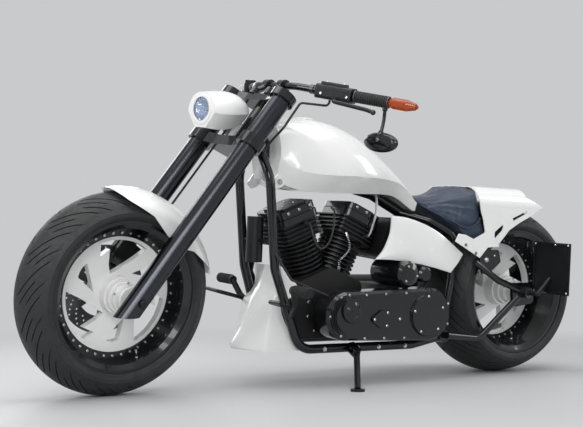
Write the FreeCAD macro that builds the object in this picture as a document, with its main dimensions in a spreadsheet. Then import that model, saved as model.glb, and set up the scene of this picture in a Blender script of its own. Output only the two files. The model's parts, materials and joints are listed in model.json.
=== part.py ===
import FreeCAD, Part
import math
import os

# Long-fork cruiser motorcycle with a very wide rear tyre, parked on its side stand.
# Millimetres. X points forward, Y to the rider's left, Z up.
# Every piece is drawn on the upright, straight-ahead machine, with the origin on the
# ground under the rear axle, and is then leaned, steered and centred by its Placement.

os.makedirs("parts", exist_ok=True)

Vector = FreeCAD.Vector
Placement = FreeCAD.Placement
Rotation = FreeCAD.Rotation

X_AXIS = Vector(1, 0, 0)
Y_AXIS = Vector(0, 1, 0)
Z_AXIS = Vector(0, 0, 1)

doc = FreeCAD.newDocument("Motorcycle")

SIZES = {
    # Stance and steering
    "wheelbase": 1644,
    "rake_angle": 36,
    "axle_lead": 50,
    "lean_angle": 5,
    "steer_angle": 8,
    # Tyres, rims and wheel centres
    "front_tyre_radius": 327.5,
    "front_tyre_width": 183,
    "front_crown_radius": 98,
    "rear_tyre_radius": 333.5,
    "rear_tyre_width": 300,
    "rear_crown_radius": 212,
    "bead_seat_radius": 228.5,
    "flange_radius": 243,
    "front_rim_width": 154,
    "rear_rim_width": 276,
    "rim_wall": 11,
    "flange_wall": 6,
    "centre_radius": 186,
    "centre_thickness": 26,
    "centre_rim_wall": 11,
    "hub_radius": 62,
    "hub_nose_radius": 36,
    "front_hub_width": 214,
    "rear_hub_width": 280,
    "axle_diameter": 25,
    "fit_gap": 0.3,
    "running_gap": 0.4,
    # Front brake
    "front_disc_radius": 146,
    "disc_thickness": 5,
    "front_disc_offset": 84,
    "rear_disc_offset": 150,
    # Fork
    "leg_spacing": 292,
    "leg_diameter": 69,
    "leg_above_clamp": 25,
    "leg_foot": 45,
    "clamp_wall": 10,
    "lower_clamp_height": 618,
    "lower_clamp_thickness": 40,
    "clamp_spacing": 202,
    "upper_clamp_thickness": 28,
    "stem_diameter": 28,
    "head_tube_diameter": 62,
    # Handlebar
    "bar_diameter": 25.4,
    "bar_half_centre": 112,
    "bar_sweep": 24,
    "bar_droop": 5.5,
    "bar_arm": 350,
    "riser_reach": 68,
    "riser_rise": 35.5,
    "riser_spacing": 84,
    "riser_diameter": 30,
    "grip_diameter": 36,
    "grip_length": 125,
    "line_diameter": 8,
    # Frame
    "tube_diameter": 32,
    "backbone_diameter": 44,
    "rail_height": 140,
    "rail_spacing": 250,
    "downtube_spacing": 214,
    "rear_tube_diameter": 26,
    "swingarm_left": 172,
    "swingarm_right": 205,
    "upright_inset": 34,
    "strut_inner": 185.6,
    # Engine
    "crank_x": 872,
    "crank_z": 272,
    "vee_angle": 45,
    "case_width": 190,
    "cylinder_foot": 140,
    "cylinder_height": 130,
    "barrel_radius": 52,
    "fin_radius": 78,
    "fin_count": 9,
    "fin_thickness": 4,
    "head_height": 66,
    "head_right": 100,
    "rocker_height": 58,
    # Primary drive
    "primary_inner": 128,
    "primary_outer": 226,
    "clutch_x": 505,
    "primary_nose_radius": 84,
    "clutch_radius": 96,
    # Belt drive
    "belt_offset": 172,
    "belt_width": 24,
    "belt_thickness": 5,
    "belt_margin": 3,
    "pulley_x": 500,
    "pulley_z": 262,
    "front_pulley_radius": 44,
    "rear_pulley_radius": 118,
    # Bodywork
    "sheet_wall": 4,
    "tank_half_width": 165,
    "fender_half_width": 168,
    "fender_crown": 742,
    "front_fender_gap": 13,
    "hugger_gap": 16,
    # Side stand
    "stand_pivot_x": 800,
    "stand_pivot_y": 172,
    "stand_pivot_z": 128,
    "stand_foot_reach": 112,
    "stand_foot_out": 168,
    "stand_leg_diameter": 22,
    "stand_pad_radius": 24,
    "stand_pin_diameter": 12,
}

sheet = doc.addObject("Spreadsheet::Sheet", "Sizes")
for row, (alias, number) in enumerate(SIZES.items(), start=1):
    sheet.set(f"A{row}", alias.replace("_", " "))
    sheet.set(f"B{row}", str(number))
    sheet.setAlias(f"B{row}", alias)
doc.recompute()


def size(alias):
    """Read one driving dimension from the spreadsheet."""
    return float(sheet.get(alias))


# Derived places on the upright machine

RAKE = math.radians(size("rake_angle"))
FRONT_AXLE = Vector(size("wheelbase"), 0, size("front_tyre_radius"))
REAR_AXLE = Vector(0, 0, size("rear_tyre_radius"))
STEER_UP = Vector(-math.sin(RAKE), 0, math.cos(RAKE))
STEER_AHEAD = Vector(math.cos(RAKE), 0, math.sin(RAKE))
STEER_FOOT = FRONT_AXLE - STEER_AHEAD * size("axle_lead")
FORK_FRAME = Placement(STEER_FOOT, Rotation(Y_AXIS, -size("rake_angle")))
LEG_Y = size("leg_spacing") / 2
LEG_RADIUS = size("leg_diameter") / 2
UPPER_CLAMP = size("lower_clamp_height") + size("clamp_spacing")
DRAWN_WHEELBASE = 1644


def along(x):
    """Place along the frame and tank, which stretch with the wheelbase."""
    return x * size("wheelbase") / DRAWN_WHEELBASE


def on_fork(ahead, left, up):
    """Point in the fork's own frame: ahead of the steering axis, left, and up along it."""
    return FORK_FRAME.multVec(Vector(ahead, left, up))


# Feature helpers


def aim(start, direction):
    """Placement that turns local Z to a direction and moves the origin to start."""
    return Placement(start, Rotation(Z_AXIS, direction))


def cylinder(name, start, end, radius):
    """Round bar between two points; radius is a sheet expression or a number."""
    bar = doc.addObject("Part::Cylinder", name)
    bar.Height = (end - start).Length
    bar.Placement = aim(start, end - start)
    if isinstance(radius, str):
        bar.setExpression("Radius", radius)
    else:
        bar.Radius = radius
    return bar


def cone(name, start, end, radius_start, radius_end):
    """Tapered round bar between two points."""
    taper = doc.addObject("Part::Cone", name)
    taper.Height = (end - start).Length
    taper.Radius1 = radius_start
    taper.Radius2 = radius_end
    taper.Placement = aim(start, end - start)
    return taper


def block(name, corner, length, width, height):
    """Box from its lowest corner."""
    box = doc.addObject("Part::Box", name)
    box.Length = length
    box.Width = width
    box.Height = height
    box.Placement = Placement(corner, Rotation())
    return box


def sketch(name, geometry, placement=Placement()):
    """Flat outline in its own X and Y."""
    outline = doc.addObject("Sketcher::SketchObject", name)
    outline.addGeometry(geometry, False)
    outline.Placement = placement
    return outline


# Turns a sketch so that its X stays along the machine and its Y points up
SIDE_VIEW = Rotation(X_AXIS, 90)
# Turns a sketch so that its X points left and its Y up, and it is pushed forwards
FRONT_VIEW = Rotation(Vector(1, 1, 1), 120)


def polygon(points):
    """Closed outline of straight runs."""
    corners = [Vector(x, y, 0) for x, y in points]
    return [
        Part.LineSegment(corners[i], corners[(i + 1) % len(corners)])
        for i in range(len(corners))
    ]


def rounded(points, radius):
    """Closed outline whose corners are rounded by one radius."""
    corners = [Vector(x, y, 0) for x, y in points]
    count = len(corners)
    starts, ends, middles = [], [], []
    for i, corner in enumerate(corners):
        back = (corners[i - 1] - corner).normalize()
        ahead = (corners[(i + 1) % count] - corner).normalize()
        half = back.getAngle(ahead) / 2
        reach = radius / math.tan(half)
        starts.append(corner + back * reach)
        ends.append(corner + ahead * reach)
        inward = (back + ahead).normalize()
        middles.append(corner + inward * (radius / math.sin(half) - radius))
    geometry = []
    for i in range(count):
        geometry.append(Part.Arc(starts[i], middles[i], ends[i]))
        geometry.append(Part.LineSegment(ends[i], starts[(i + 1) % count]))
    return geometry


def prism(name, geometry, placement, depth, centred=True):
    """Outline pushed along its own normal; depth is an expression or a number."""
    base = sketch(name + "_outline", geometry, placement)
    solid = doc.addObject("Part::Extrusion", name)
    solid.Base = base
    solid.DirMode = "Normal"
    solid.Solid = True
    solid.Symmetric = centred
    if isinstance(depth, str):
        solid.setExpression("LengthFwd", depth)
    else:
        solid.LengthFwd = depth
    return solid


def side_prism(name, geometry, middle_y, depth):
    """Side-view outline given depth about one Y."""
    return prism(name, geometry, Placement(Vector(0, middle_y, 0), SIDE_VIEW), depth)


def turned(name, geometry, centre, axis=Y_AXIS):
    """Outline of (along the axis, radius) turned once about an axis through centre."""
    base = sketch(name + "_outline", geometry, Placement())
    solid = doc.addObject("Part::Revolution", name)
    solid.Source = base
    solid.Axis = X_AXIS
    solid.Base = Vector(0, 0, 0)
    solid.Angle = 360
    solid.Solid = True
    solid.Placement = Placement(centre, Rotation(X_AXIS, axis))
    return solid


def fuse(name, pieces):
    """Join several solids into one."""
    joined = doc.addObject("Part::MultiFuse", name)
    joined.Shapes = pieces
    return joined


def cut(name, base, tool):
    """Take one solid from another."""
    remainder = doc.addObject("Part::Cut", name)
    remainder.Base = base
    remainder.Tool = tool
    return remainder


def common(name, first, second):
    """Keep what two solids share."""
    shared = doc.addObject("Part::MultiCommon", name)
    shared.Shapes = [first, second]
    return shared


def turned_copy(name, source, centre, axis, angle):
    """Second copy of a solid, turned about an axis."""
    copy = doc.addObject("Part::Feature", name)
    doc.recompute()
    shape = source.Shape.copy()
    shape.rotate(centre, axis, angle)
    copy.Shape = shape
    return copy


def bent_wire(points, bend):
    """Straight runs joined by tangent arcs of one radius."""
    edges = []
    start = points[0]
    for i in range(1, len(points) - 1):
        back = (points[i - 1] - points[i]).normalize()
        ahead = (points[i + 1] - points[i]).normalize()
        half = back.getAngle(ahead) / 2
        reach = bend / math.tan(half)
        inward = (back + ahead).normalize()
        first = points[i] + back * reach
        middle = points[i] + inward * (bend / math.sin(half) - bend)
        last = points[i] + ahead * reach
        edges.append(Part.LineSegment(start, first).toShape())
        edges.append(Part.Arc(first, middle, last).toShape())
        start = last
    edges.append(Part.LineSegment(start, points[-1]).toShape())
    return Part.Wire(edges)


def pipe(name, points, radius, bend=60):
    """Round bar swept along straight runs and bends; radius is an expression or a number."""
    spine = doc.addObject("Part::Feature", name + "_route")
    spine.Shape = bent_wire(points, bend)
    ring = doc.addObject("Part::Circle", name + "_section")
    if isinstance(radius, str):
        ring.setExpression("Radius", radius)
    else:
        ring.Radius = radius
    ring.Placement = aim(points[0], points[1] - points[0])
    swept = doc.addObject("Part::Sweep", name)
    swept.Sections = [ring]
    swept.Spine = (spine, [])
    swept.Solid = True
    swept.Frenet = False
    return swept


def loft(name, wires, ruled=False):
    """Solid through a row of closed sections."""
    sections = []
    for i, wire in enumerate(wires):
        section = doc.addObject("Part::Feature", f"{name}_section_{i}")
        section.Shape = wire
        sections.append(section)
    body = doc.addObject("Part::Loft", name)
    body.Sections = sections
    body.Solid = True
    body.Ruled = ruled
    return body


def oval(centre, across, up):
    """Closed oval about a centre, from the ends of its long and short half axes."""
    return Part.Wire(Part.Ellipse(centre + across, centre + up, centre).toShape())


# The list of finished pieces: node name, object and what carries it

FINISHED = []


def finish(label, piece, carrier="frame"):
    """Name a finished piece and note what carries it."""
    piece.Label = label
    FINISHED.append((piece, carrier))
    return piece


def creased_section(x, half, top, crease, bottom, waist):
    """Closed section, rounded above a crease and tucked in below it."""
    upper = Part.BSplineCurve()
    upper.interpolate(
        [
            Vector(x, half, crease),
            Vector(x, half * 0.93, crease + (top - crease) * 0.42),
            Vector(x, half * 0.62, crease + (top - crease) * 0.83),
            Vector(x, 0, top),
            Vector(x, -half * 0.62, crease + (top - crease) * 0.83),
            Vector(x, -half * 0.93, crease + (top - crease) * 0.42),
            Vector(x, -half, crease),
        ]
    )
    corners = [
        Vector(x, -half, crease),
        Vector(x, -waist, bottom),
        Vector(x, waist, bottom),
        Vector(x, half, crease),
    ]
    edges = [upper.toShape()]
    for first, second in zip(corners, corners[1:]):
        edges.append(Part.LineSegment(first, second).toShape())
    return Part.Wire(edges)


# Stance: both tyres on the ground with the machine leaned and the fork turned

STEERED = Placement(Vector(0, 0, 0), Rotation(STEER_UP, size("steer_angle")), STEER_FOOT)


def tyre_low_point(placement, centre, axle, radius, crown):
    """Height of the lowest point of a round-crowned tyre."""
    middle = placement.multVec(centre)
    across = placement.Rotation.multVec(axle)
    return middle.z - (radius - crown) * math.sqrt(1 - across.z**2) - crown


def solve_stance():
    """Placement that sets both tyres on the ground at the lean and steer angles."""
    front_centre = STEERED.multVec(FRONT_AXLE)
    front_across = STEERED.Rotation.multVec(Y_AXIS)
    lean = Rotation(X_AXIS, -size("lean_angle"))
    pitch = 0.0
    for _ in range(30):
        turn = lean.multiply(Rotation(Y_AXIS, math.degrees(pitch)))
        placement = Placement(Vector(0, 0, 0), turn)
        rear = tyre_low_point(
            placement, REAR_AXLE, Y_AXIS, size("rear_tyre_radius"), size("rear_crown_radius")
        )
        front = tyre_low_point(
            placement,
            front_centre,
            front_across,
            size("front_tyre_radius"),
            size("front_crown_radius"),
        )
        pitch += math.atan2(front - rear, size("wheelbase"))
    return Placement(Vector(0, 0, -rear), turn)


STANCE = solve_stance()


def stand_points():
    """Pivot, foot and hinge axis of the side stand."""
    pivot = Vector(size("stand_pivot_x"), size("stand_pivot_y"), size("stand_pivot_z"))
    foot_x = pivot.x + size("stand_foot_reach")
    foot_y = pivot.y + size("stand_foot_out")
    level = STANCE.multVec(Vector(foot_x, foot_y, 0)).z
    rise = STANCE.Rotation.multVec(Z_AXIS).z
    foot = Vector(foot_x, foot_y, -level / rise)
    folded = Vector(-1, 0.22, 0.03).normalize()
    hinge = (foot - pivot).cross(folded).normalize()
    return pivot, foot, hinge


STAND_PIVOT, STAND_FOOT, STAND_HINGE = stand_points()


def stand_bracket():
    """Forked lug on the left rail, with the pin that the stand turns on."""
    pin = size("stand_pin_diameter") / 2
    lug = pin + 7
    reach = size("stand_pivot_y") - size("rail_spacing") / 2 - 4
    inward = Vector(0, -1, 0)
    inward = (inward - STAND_HINGE * inward.dot(STAND_HINGE)).normalize()
    across = STAND_HINGE.cross(inward)
    frame = Placement(STAND_PIVOT, Rotation(inward, across, STAND_HINGE, "ZXY"))
    pieces = [
        cylinder(
            "stand_pin", STAND_PIVOT - STAND_HINGE * 16, STAND_PIVOT + STAND_HINGE * 16, pin
        )
    ]
    for level, name in ((9.5, "high"), (-15.5, "low")):
        start = STAND_PIVOT + STAND_HINGE * level
        pieces.append(cylinder(f"stand_lug_{name}", start, start + STAND_HINGE * 6, lug))
        ear = block(f"stand_ear_{name}", Vector(0, -lug, level), reach, 2 * lug, 6)
        ear.Placement = frame.multiply(ear.Placement)
        pieces.append(ear)
    return pieces


def build_side_stand():
    """Swinging leg with a flat foot, out and forward on the ground."""
    pin = size("stand_pin_diameter") / 2
    leg = size("stand_leg_diameter") / 2
    up = STANCE.Rotation.inverted().multVec(Z_AXIS)
    along = (STAND_FOOT - STAND_PIVOT).normalize()
    pieces = [
        cylinder(
            "stand_eye", STAND_PIVOT - STAND_HINGE * 8.8, STAND_PIVOT + STAND_HINGE * 8.8, pin + 7
        ),
        cylinder("stand_neck", STAND_PIVOT, STAND_PIVOT + along * 26, leg - 3),
        cylinder("stand_leg", STAND_PIVOT + along * (pin + 13), STAND_FOOT + up * 6, leg),
        cylinder("stand_pad", STAND_FOOT, STAND_FOOT + up * 8, "Sizes.stand_pad_radius"),
    ]
    bore = cylinder(
        "stand_bore",
        STAND_PIVOT - STAND_HINGE * 20,
        STAND_PIVOT + STAND_HINGE * 20,
        pin + size("running_gap"),
    )
    whole = fuse("stand_whole", pieces)
    below = block("stand_ground", Vector(-200, -200, -60), 400, 400, 60)
    below.Placement = Placement(STAND_FOOT, Rotation(Z_AXIS, up)).multiply(below.Placement)
    finish("side_stand", cut("stand_solid", whole, fuse("stand_cuts", [bore, below])), "stand")


# Wheels


def tyre(label, centre, radius, width, crown, rim_width):
    """Rounded tread, bulged sidewalls and a bead between the rim's flanges."""
    bead = rim_width / 2 - size("flange_wall") - size("fit_gap")
    seat = size("bead_seat_radius") + size("fit_gap")
    shoulder = width / 2 * 0.93
    shoulder_radius = radius - crown + math.sqrt(crown**2 - shoulder**2)
    lip = size("flange_radius") + 1
    bulge_radius = (shoulder_radius + lip) / 2
    geometry = [
        Part.LineSegment(Vector(-bead, seat, 0), Vector(bead, seat, 0)),
        Part.LineSegment(Vector(bead, seat, 0), Vector(bead, lip, 0)),
        Part.Arc(
            Vector(bead, lip, 0),
            Vector(width / 2, bulge_radius, 0),
            Vector(shoulder, shoulder_radius, 0),
        ),
        Part.Arc(
            Vector(shoulder, shoulder_radius, 0),
            Vector(0, radius, 0),
            Vector(-shoulder, shoulder_radius, 0),
        ),
        Part.Arc(
            Vector(-shoulder, shoulder_radius, 0),
            Vector(-width / 2, bulge_radius, 0),
            Vector(-bead, lip, 0),
        ),
        Part.LineSegment(Vector(-bead, lip, 0), Vector(-bead, seat, 0)),
    ]
    return turned(label, geometry, centre)


def rim(label, centre, rim_width):
    """Deep barrel with two flanges and a flat ring inside that the centre bolts to."""
    edge = rim_width / 2
    flange = size("flange_wall")
    seat = size("bead_seat_radius")
    inner = seat - size("rim_wall")
    web = size("centre_thickness") / 2 + 2
    bore = size("centre_radius") + size("fit_gap")
    outline = [
        (-edge, size("flange_radius")),
        (-edge + flange, size("flange_radius")),
        (-edge + flange, seat),
        (edge - flange, seat),
        (edge - flange, size("flange_radius")),
        (edge, size("flange_radius")),
        (edge, seat + 4),
        (edge - 2 * flange, inner),
        (web, inner),
        (web, bore),
        (-web, bore),
        (-web, inner),
        (-edge + 2 * flange, inner),
        (-edge, seat + 4),
    ]
    return turned(label, polygon(outline), centre)


def polar(share, angle):
    """Point of a wheel centre, from its share of the radius and its angle."""
    reach = share * size("centre_radius")
    return Vector(reach * math.cos(math.radians(angle)), reach * math.sin(math.radians(angle)), 0)


def thorn_opening():
    """Large opening with one straight side and one barbed side."""
    ring = (size("centre_radius") - size("centre_rim_wall")) / size("centre_radius")
    tip = polar(ring, 4)
    plain = polar(0.61, -9)
    hub_corner = polar(0.39, -54)
    throat = polar(0.54, -51)
    barb = polar(0.80, -44)
    notch = polar(0.74, -59.5)
    shoulder = polar(ring, -53)
    return [
        Part.Arc(shoulder, polar(ring, -25), tip),
        Part.Arc(tip, plain, hub_corner),
        Part.LineSegment(hub_corner, throat),
        Part.LineSegment(throat, barb),
        Part.LineSegment(barb, notch),
        Part.LineSegment(notch, shoulder),
    ]


def arm_slot():
    """Tapered slot that splits an arm."""
    outer_low = polar(0.80, 22)
    outer_high = polar(0.80, 42)
    root = polar(0.44, 6)
    return [
        Part.Arc(outer_low, polar(0.82, 32), outer_high),
        Part.LineSegment(outer_high, root),
        Part.LineSegment(root, outer_low),
    ]


def wheel_centre(label, centre, hub_width, left_steps, right_seat, turn):
    """Three broad arms, each split by a slot, between three barbed openings."""
    plate_depth = "Sizes.centre_thickness"
    circle = [Part.Circle(Vector(0, 0, 0), Z_AXIS, size("centre_radius"))]
    face = Placement(centre, SIDE_VIEW)
    disc = prism(label + "_disc", circle, face, plate_depth)
    tools = []
    for name, geometry in (("opening", thorn_opening()), ("slot", arm_slot())):
        first = prism(f"{label}_{name}", geometry, face, size("centre_thickness") * 2)
        tools.append(first)
        for i in (1, 2):
            tools.append(turned_copy(f"{label}_{name}_{i}", first, centre, Y_AXIS, 120 * i))
    plate = cut(label + "_plate", disc, fuse(label + "_openings", tools))
    half = hub_width / 2
    web = size("centre_thickness") / 2
    base = size("hub_radius")
    nose = size("hub_nose_radius")
    bore = size("axle_diameter") / 2 + size("running_gap")
    outline = [(-half, bore), (half, bore), (half, nose)]
    for i in range(left_steps):
        share = i / left_steps
        next_share = (i + 1) / left_steps
        along = half - (half - web) * share * 0.8
        radius = nose + (base - nose) * next_share
        outline.append((along - 6, nose + (base - nose) * share))
        outline.append((along - 6, radius))
    outline.append((-web, base))
    outline.append((-right_seat, base))
    outline.append((-right_seat, nose + 8))
    outline.append((-half, nose))
    hub = turned(label + "_hub", polygon(outline), centre)
    bored = cut(
        label + "_bored",
        plate,
        cylinder(
            label + "_bore",
            centre - Y_AXIS * half,
            centre + Y_AXIS * half,
            base - 4,
        ),
    )
    whole = fuse(label + "_whole", [bored, hub])
    doc.recompute()
    spun = doc.addObject("Part::Feature", label)
    shape = whole.Shape.copy()
    shape.rotate(centre, Y_AXIS, turn)
    spun.Shape = shape
    return spun


def brake_disc(label, centre, offset, radius, inner):
    """Flat ring with a carrier that sits against the hub."""
    thickness = size("disc_thickness")
    outline = [
        (offset - thickness / 2, inner),
        (offset + thickness / 2, inner),
        (offset + thickness / 2, radius),
        (offset - thickness / 2, radius),
    ]
    return turned(label, polygon(outline), centre)


def build_front_wheel():
    """Tyre, black rim, white centre and right-hand brake disc on one axle."""
    centre = FRONT_AXLE
    disc_seat = size("front_disc_offset") - size("disc_thickness") / 2 - size("fit_gap")
    finish(
        "front_tyre",
        tyre(
            "front_tyre_solid",
            centre,
            size("front_tyre_radius"),
            size("front_tyre_width"),
            size("front_crown_radius"),
            size("front_rim_width"),
        ),
        "front_wheel",
    )
    finish("front_rim", rim("front_rim_solid", centre, size("front_rim_width")), "front_wheel")
    finish(
        "front_wheel_centre",
        wheel_centre("front_centre_solid", centre, size("front_hub_width"), 4, disc_seat, 0),
        "front_wheel",
    )
    finish(
        "front_disc",
        brake_disc(
            "front_disc_solid",
            centre,
            -size("front_disc_offset"),
            size("front_disc_radius"),
            size("hub_nose_radius") + 8 + size("fit_gap"),
        ),
        "front_wheel",
    )


def build_rear_wheel():
    """Very wide tyre, black rim, white centre and the belt pulley on the right."""
    centre = REAR_AXLE
    finish(
        "rear_tyre",
        tyre(
            "rear_tyre_solid",
            centre,
            size("rear_tyre_radius"),
            size("rear_tyre_width"),
            size("rear_crown_radius"),
            size("rear_rim_width"),
        ),
        "rear_wheel",
    )
    finish("rear_rim", rim("rear_rim_solid", centre, size("rear_rim_width")), "rear_wheel")
    finish(
        "rear_wheel_centre",
        wheel_centre("rear_centre_solid", centre, size("rear_hub_width"), 4, 60, 60),
        "rear_wheel",
    )
    half = size("belt_width") / 2
    offset = -size("belt_offset")
    bore = size("axle_diameter") / 2 + size("running_gap")
    radius = size("rear_pulley_radius")
    hub_face = -size("rear_hub_width") / 2 - size("fit_gap")
    outline = [
        (offset - half, bore),
        (hub_face, bore),
        (hub_face, 44),
        (offset + half, 44),
        (offset + half, radius + 6),
        (offset + half - 3, radius + 6),
        (offset + half - 3, radius),
        (offset - half, radius),
    ]
    finish("rear_pulley", turned("rear_pulley_solid", polygon(outline), centre), "rear_wheel")
    finish(
        "rear_disc",
        brake_disc(
            "rear_disc_solid", centre, -size("rear_disc_offset"), size("front_disc_radius"), 44.3
        ),
        "rear_wheel",
    )


def build_fork():
    """Legs, clamps, stem, axle, front fender, brake caliper and headlight."""
    foot_up = -size("leg_foot") / math.cos(RAKE) - 40
    lead = size("axle_lead")
    bore = size("axle_diameter") / 2 + size("fit_gap")
    for side, name in ((1, "left"), (-1, "right")):
        y = side * LEG_Y
        tube = cylinder(
            f"leg_{name}_tube",
            on_fork(lead, y, foot_up),
            on_fork(lead, y, UPPER_CLAMP + size("leg_above_clamp")),
            "Sizes.leg_diameter / 2",
        )
        ground_cut = block(
            f"leg_{name}_foot_cut",
            FRONT_AXLE + Vector(-150, y - 60, -size("leg_foot") - 200),
            300,
            120,
            200,
        )
        axle_bore = cylinder(
            f"leg_{name}_axle_bore",
            FRONT_AXLE + Vector(0, side * (LEG_Y - LEG_RADIUS - 5), 0),
            FRONT_AXLE + Vector(0, side * (LEG_Y + 12), 0),
            bore,
        )
        tools = fuse(f"leg_{name}_cuts", [ground_cut, axle_bore])
        finish(f"fork_leg_{name}", cut(f"leg_{name}_solid", tube, tools), "steered")
    reach = LEG_Y + 12 - size("fit_gap")
    finish(
        "front_axle",
        cylinder(
            "front_axle_solid",
            FRONT_AXLE - Y_AXIS * reach,
            FRONT_AXLE + Y_AXIS * reach,
            "Sizes.axle_diameter / 2",
        ),
        "steered",
    )
    build_clamp("lower_clamp", size("lower_clamp_height"), size("lower_clamp_thickness"), True)
    build_clamp("upper_clamp", UPPER_CLAMP, size("upper_clamp_thickness"), False)


def build_clamp(label, up, thickness, with_stem):
    """Clamp across both legs and the stem, square to the steering axis."""
    lead = size("axle_lead")
    hole = LEG_RADIUS + size("fit_gap")
    grip = LEG_RADIUS + size("clamp_wall")
    pieces = []
    tools = []
    for side, name in ((1, "left"), (-1, "right")):
        low = on_fork(lead, side * LEG_Y, up)
        high = on_fork(lead, side * LEG_Y, up + thickness)
        pieces.append(cylinder(f"{label}_{name}_boss", low, high, grip))
        tools.append(
            cylinder(
                f"{label}_{name}_hole",
                on_fork(lead, side * LEG_Y, up - 1),
                on_fork(lead, side * LEG_Y, up + thickness + 1),
                hole,
            )
        )
    outline = rounded(
        [
            (-34, -30),
            (-34, 30),
            (lead - 22, LEG_Y - 44),
            (lead - 22, LEG_Y),
            (lead + 26, LEG_Y + 6),
            (lead + 4, 60),
            (lead + 4, -60),
            (lead + 26, -LEG_Y - 6),
            (lead - 22, -LEG_Y),
            (lead - 22, 44 - LEG_Y),
        ],
        10,
    )
    plate_frame = FORK_FRAME.multiply(Placement(Vector(0, 0, up), Rotation()))
    pieces.append(prism(f"{label}_web", outline, plate_frame, thickness, centred=False))
    stem = size("stem_diameter") / 2
    if with_stem:
        top = UPPER_CLAMP + size("upper_clamp_thickness") + 8
        pieces.append(
            cylinder(f"{label}_stem", on_fork(0, 0, up + 5), on_fork(0, 0, top), stem)
        )
    else:
        tools.append(
            cylinder(
                f"{label}_stem_hole",
                on_fork(0, 0, up - 1),
                on_fork(0, 0, up + thickness + 1),
                stem + size("fit_gap"),
            )
        )
    solid = cut(
        f"{label}_solid",
        fuse(f"{label}_whole", pieces),
        fuse(f"{label}_cuts", tools),
    )
    finish(label, solid, "steered")


def arch_profile(half_width, crown_radius, crown_curve, low_radius, wall):
    """Half-round sheet section of (across, radius), open towards the axle."""
    shoulder = half_width - 4
    shoulder_radius = crown_radius - crown_curve + math.sqrt(crown_curve**2 - shoulder**2)
    inner_curve = crown_curve - wall
    inner_shoulder = shoulder - wall
    inner_radius = crown_radius - crown_curve + math.sqrt(inner_curve**2 - inner_shoulder**2)
    side = half_width
    face = side - wall

    def at(across, radius):
        return Vector(across, radius, 0)

    def line(first, second):
        return Part.LineSegment(at(*first), at(*second))

    def arc(first, middle, last):
        return Part.Arc(at(*first), at(*middle), at(*last))

    edge_radius = shoulder_radius - 22
    bend_radius = shoulder_radius - 9
    return [
        line((-side, low_radius), (-side, edge_radius)),
        arc((-side, edge_radius), (0.8 - side, bend_radius), (-shoulder, shoulder_radius)),
        arc((-shoulder, shoulder_radius), (0, crown_radius), (shoulder, shoulder_radius)),
        arc((shoulder, shoulder_radius), (side - 0.8, bend_radius), (side, edge_radius)),
        line((side, edge_radius), (side, low_radius)),
        line((side, low_radius), (face, low_radius)),
        line((face, low_radius), (face, inner_radius - 20)),
        line((face, inner_radius - 20), (inner_shoulder, inner_radius)),
        arc((inner_shoulder, inner_radius), (0, crown_radius - wall), (-inner_shoulder, inner_radius)),
        line((-inner_shoulder, inner_radius), (-face, inner_radius - 20)),
        line((-face, inner_radius - 20), (-face, low_radius)),
        line((-face, low_radius), (-side, low_radius)),
    ]


def build_front_fender():
    """Narrow blade over the rear half of the front tyre, hung from the legs."""
    half = LEG_Y - LEG_RADIUS - 10
    crown = size("front_tyre_radius") + size("front_fender_gap") + size("sheet_wall")
    section = arch_profile(half, crown, size("front_crown_radius") + 18, 226, size("sheet_wall"))
    ring = turned("front_fender_ring", section, FRONT_AXLE)

    def spot(radius, angle):
        return (
            FRONT_AXLE.x + radius * math.cos(math.radians(angle)),
            FRONT_AXLE.z + radius * math.sin(math.radians(angle)),
        )

    side_view = [
        spot(365, 77),
        spot(420, 125),
        spot(365, 169),
        spot(338, 169),
        spot(268, 146),
        spot(232, 136),
        spot(232, 121),
        spot(268, 104),
        spot(305, 87),
    ]
    blade = side_prism("front_fender_view", polygon(side_view), 0, half * 2 + 20)
    shell = common("front_fender_shell", ring, blade)
    pieces = [shell]
    leg_face = LEG_Y - LEG_RADIUS - size("fit_gap")
    for side, name in ((1, "left"), (-1, "right")):
        for up in (254, 296):
            middle = on_fork(size("axle_lead"), 0, up)
            pieces.append(
                cylinder(
                    f"front_fender_boss_{name}_{up}",
                    middle + Y_AXIS * side * (half - 2),
                    middle + Y_AXIS * side * leg_face,
                    11,
                )
            )
    finish("front_fender", fuse("front_fender_solid", pieces), "steered")


def build_front_caliper():
    """Four-piston caliper straddling the disc inside the right leg."""
    angle = math.radians(126)
    reach = size("front_disc_radius") - 12
    middle = FRONT_AXLE + Vector(reach * math.cos(angle), 0, reach * math.sin(angle))
    offset = -size("front_disc_offset")
    turn = Rotation(Y_AXIS, -math.degrees(angle) + 90)
    leg_reach = LEG_Y - LEG_RADIUS - size("fit_gap") + offset
    body = block("front_caliper_body", Vector(-55, -leg_reach, -22), 110, leg_reach + 22, 66)
    slot = block("front_caliper_slot", Vector(-60, -6, -24), 120, 12, 48)
    solid = cut("front_caliper_solid", body, slot)
    solid.Placement = Placement(middle + Vector(0, offset, 0), turn)
    finish("front_caliper", solid, "steered")


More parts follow.
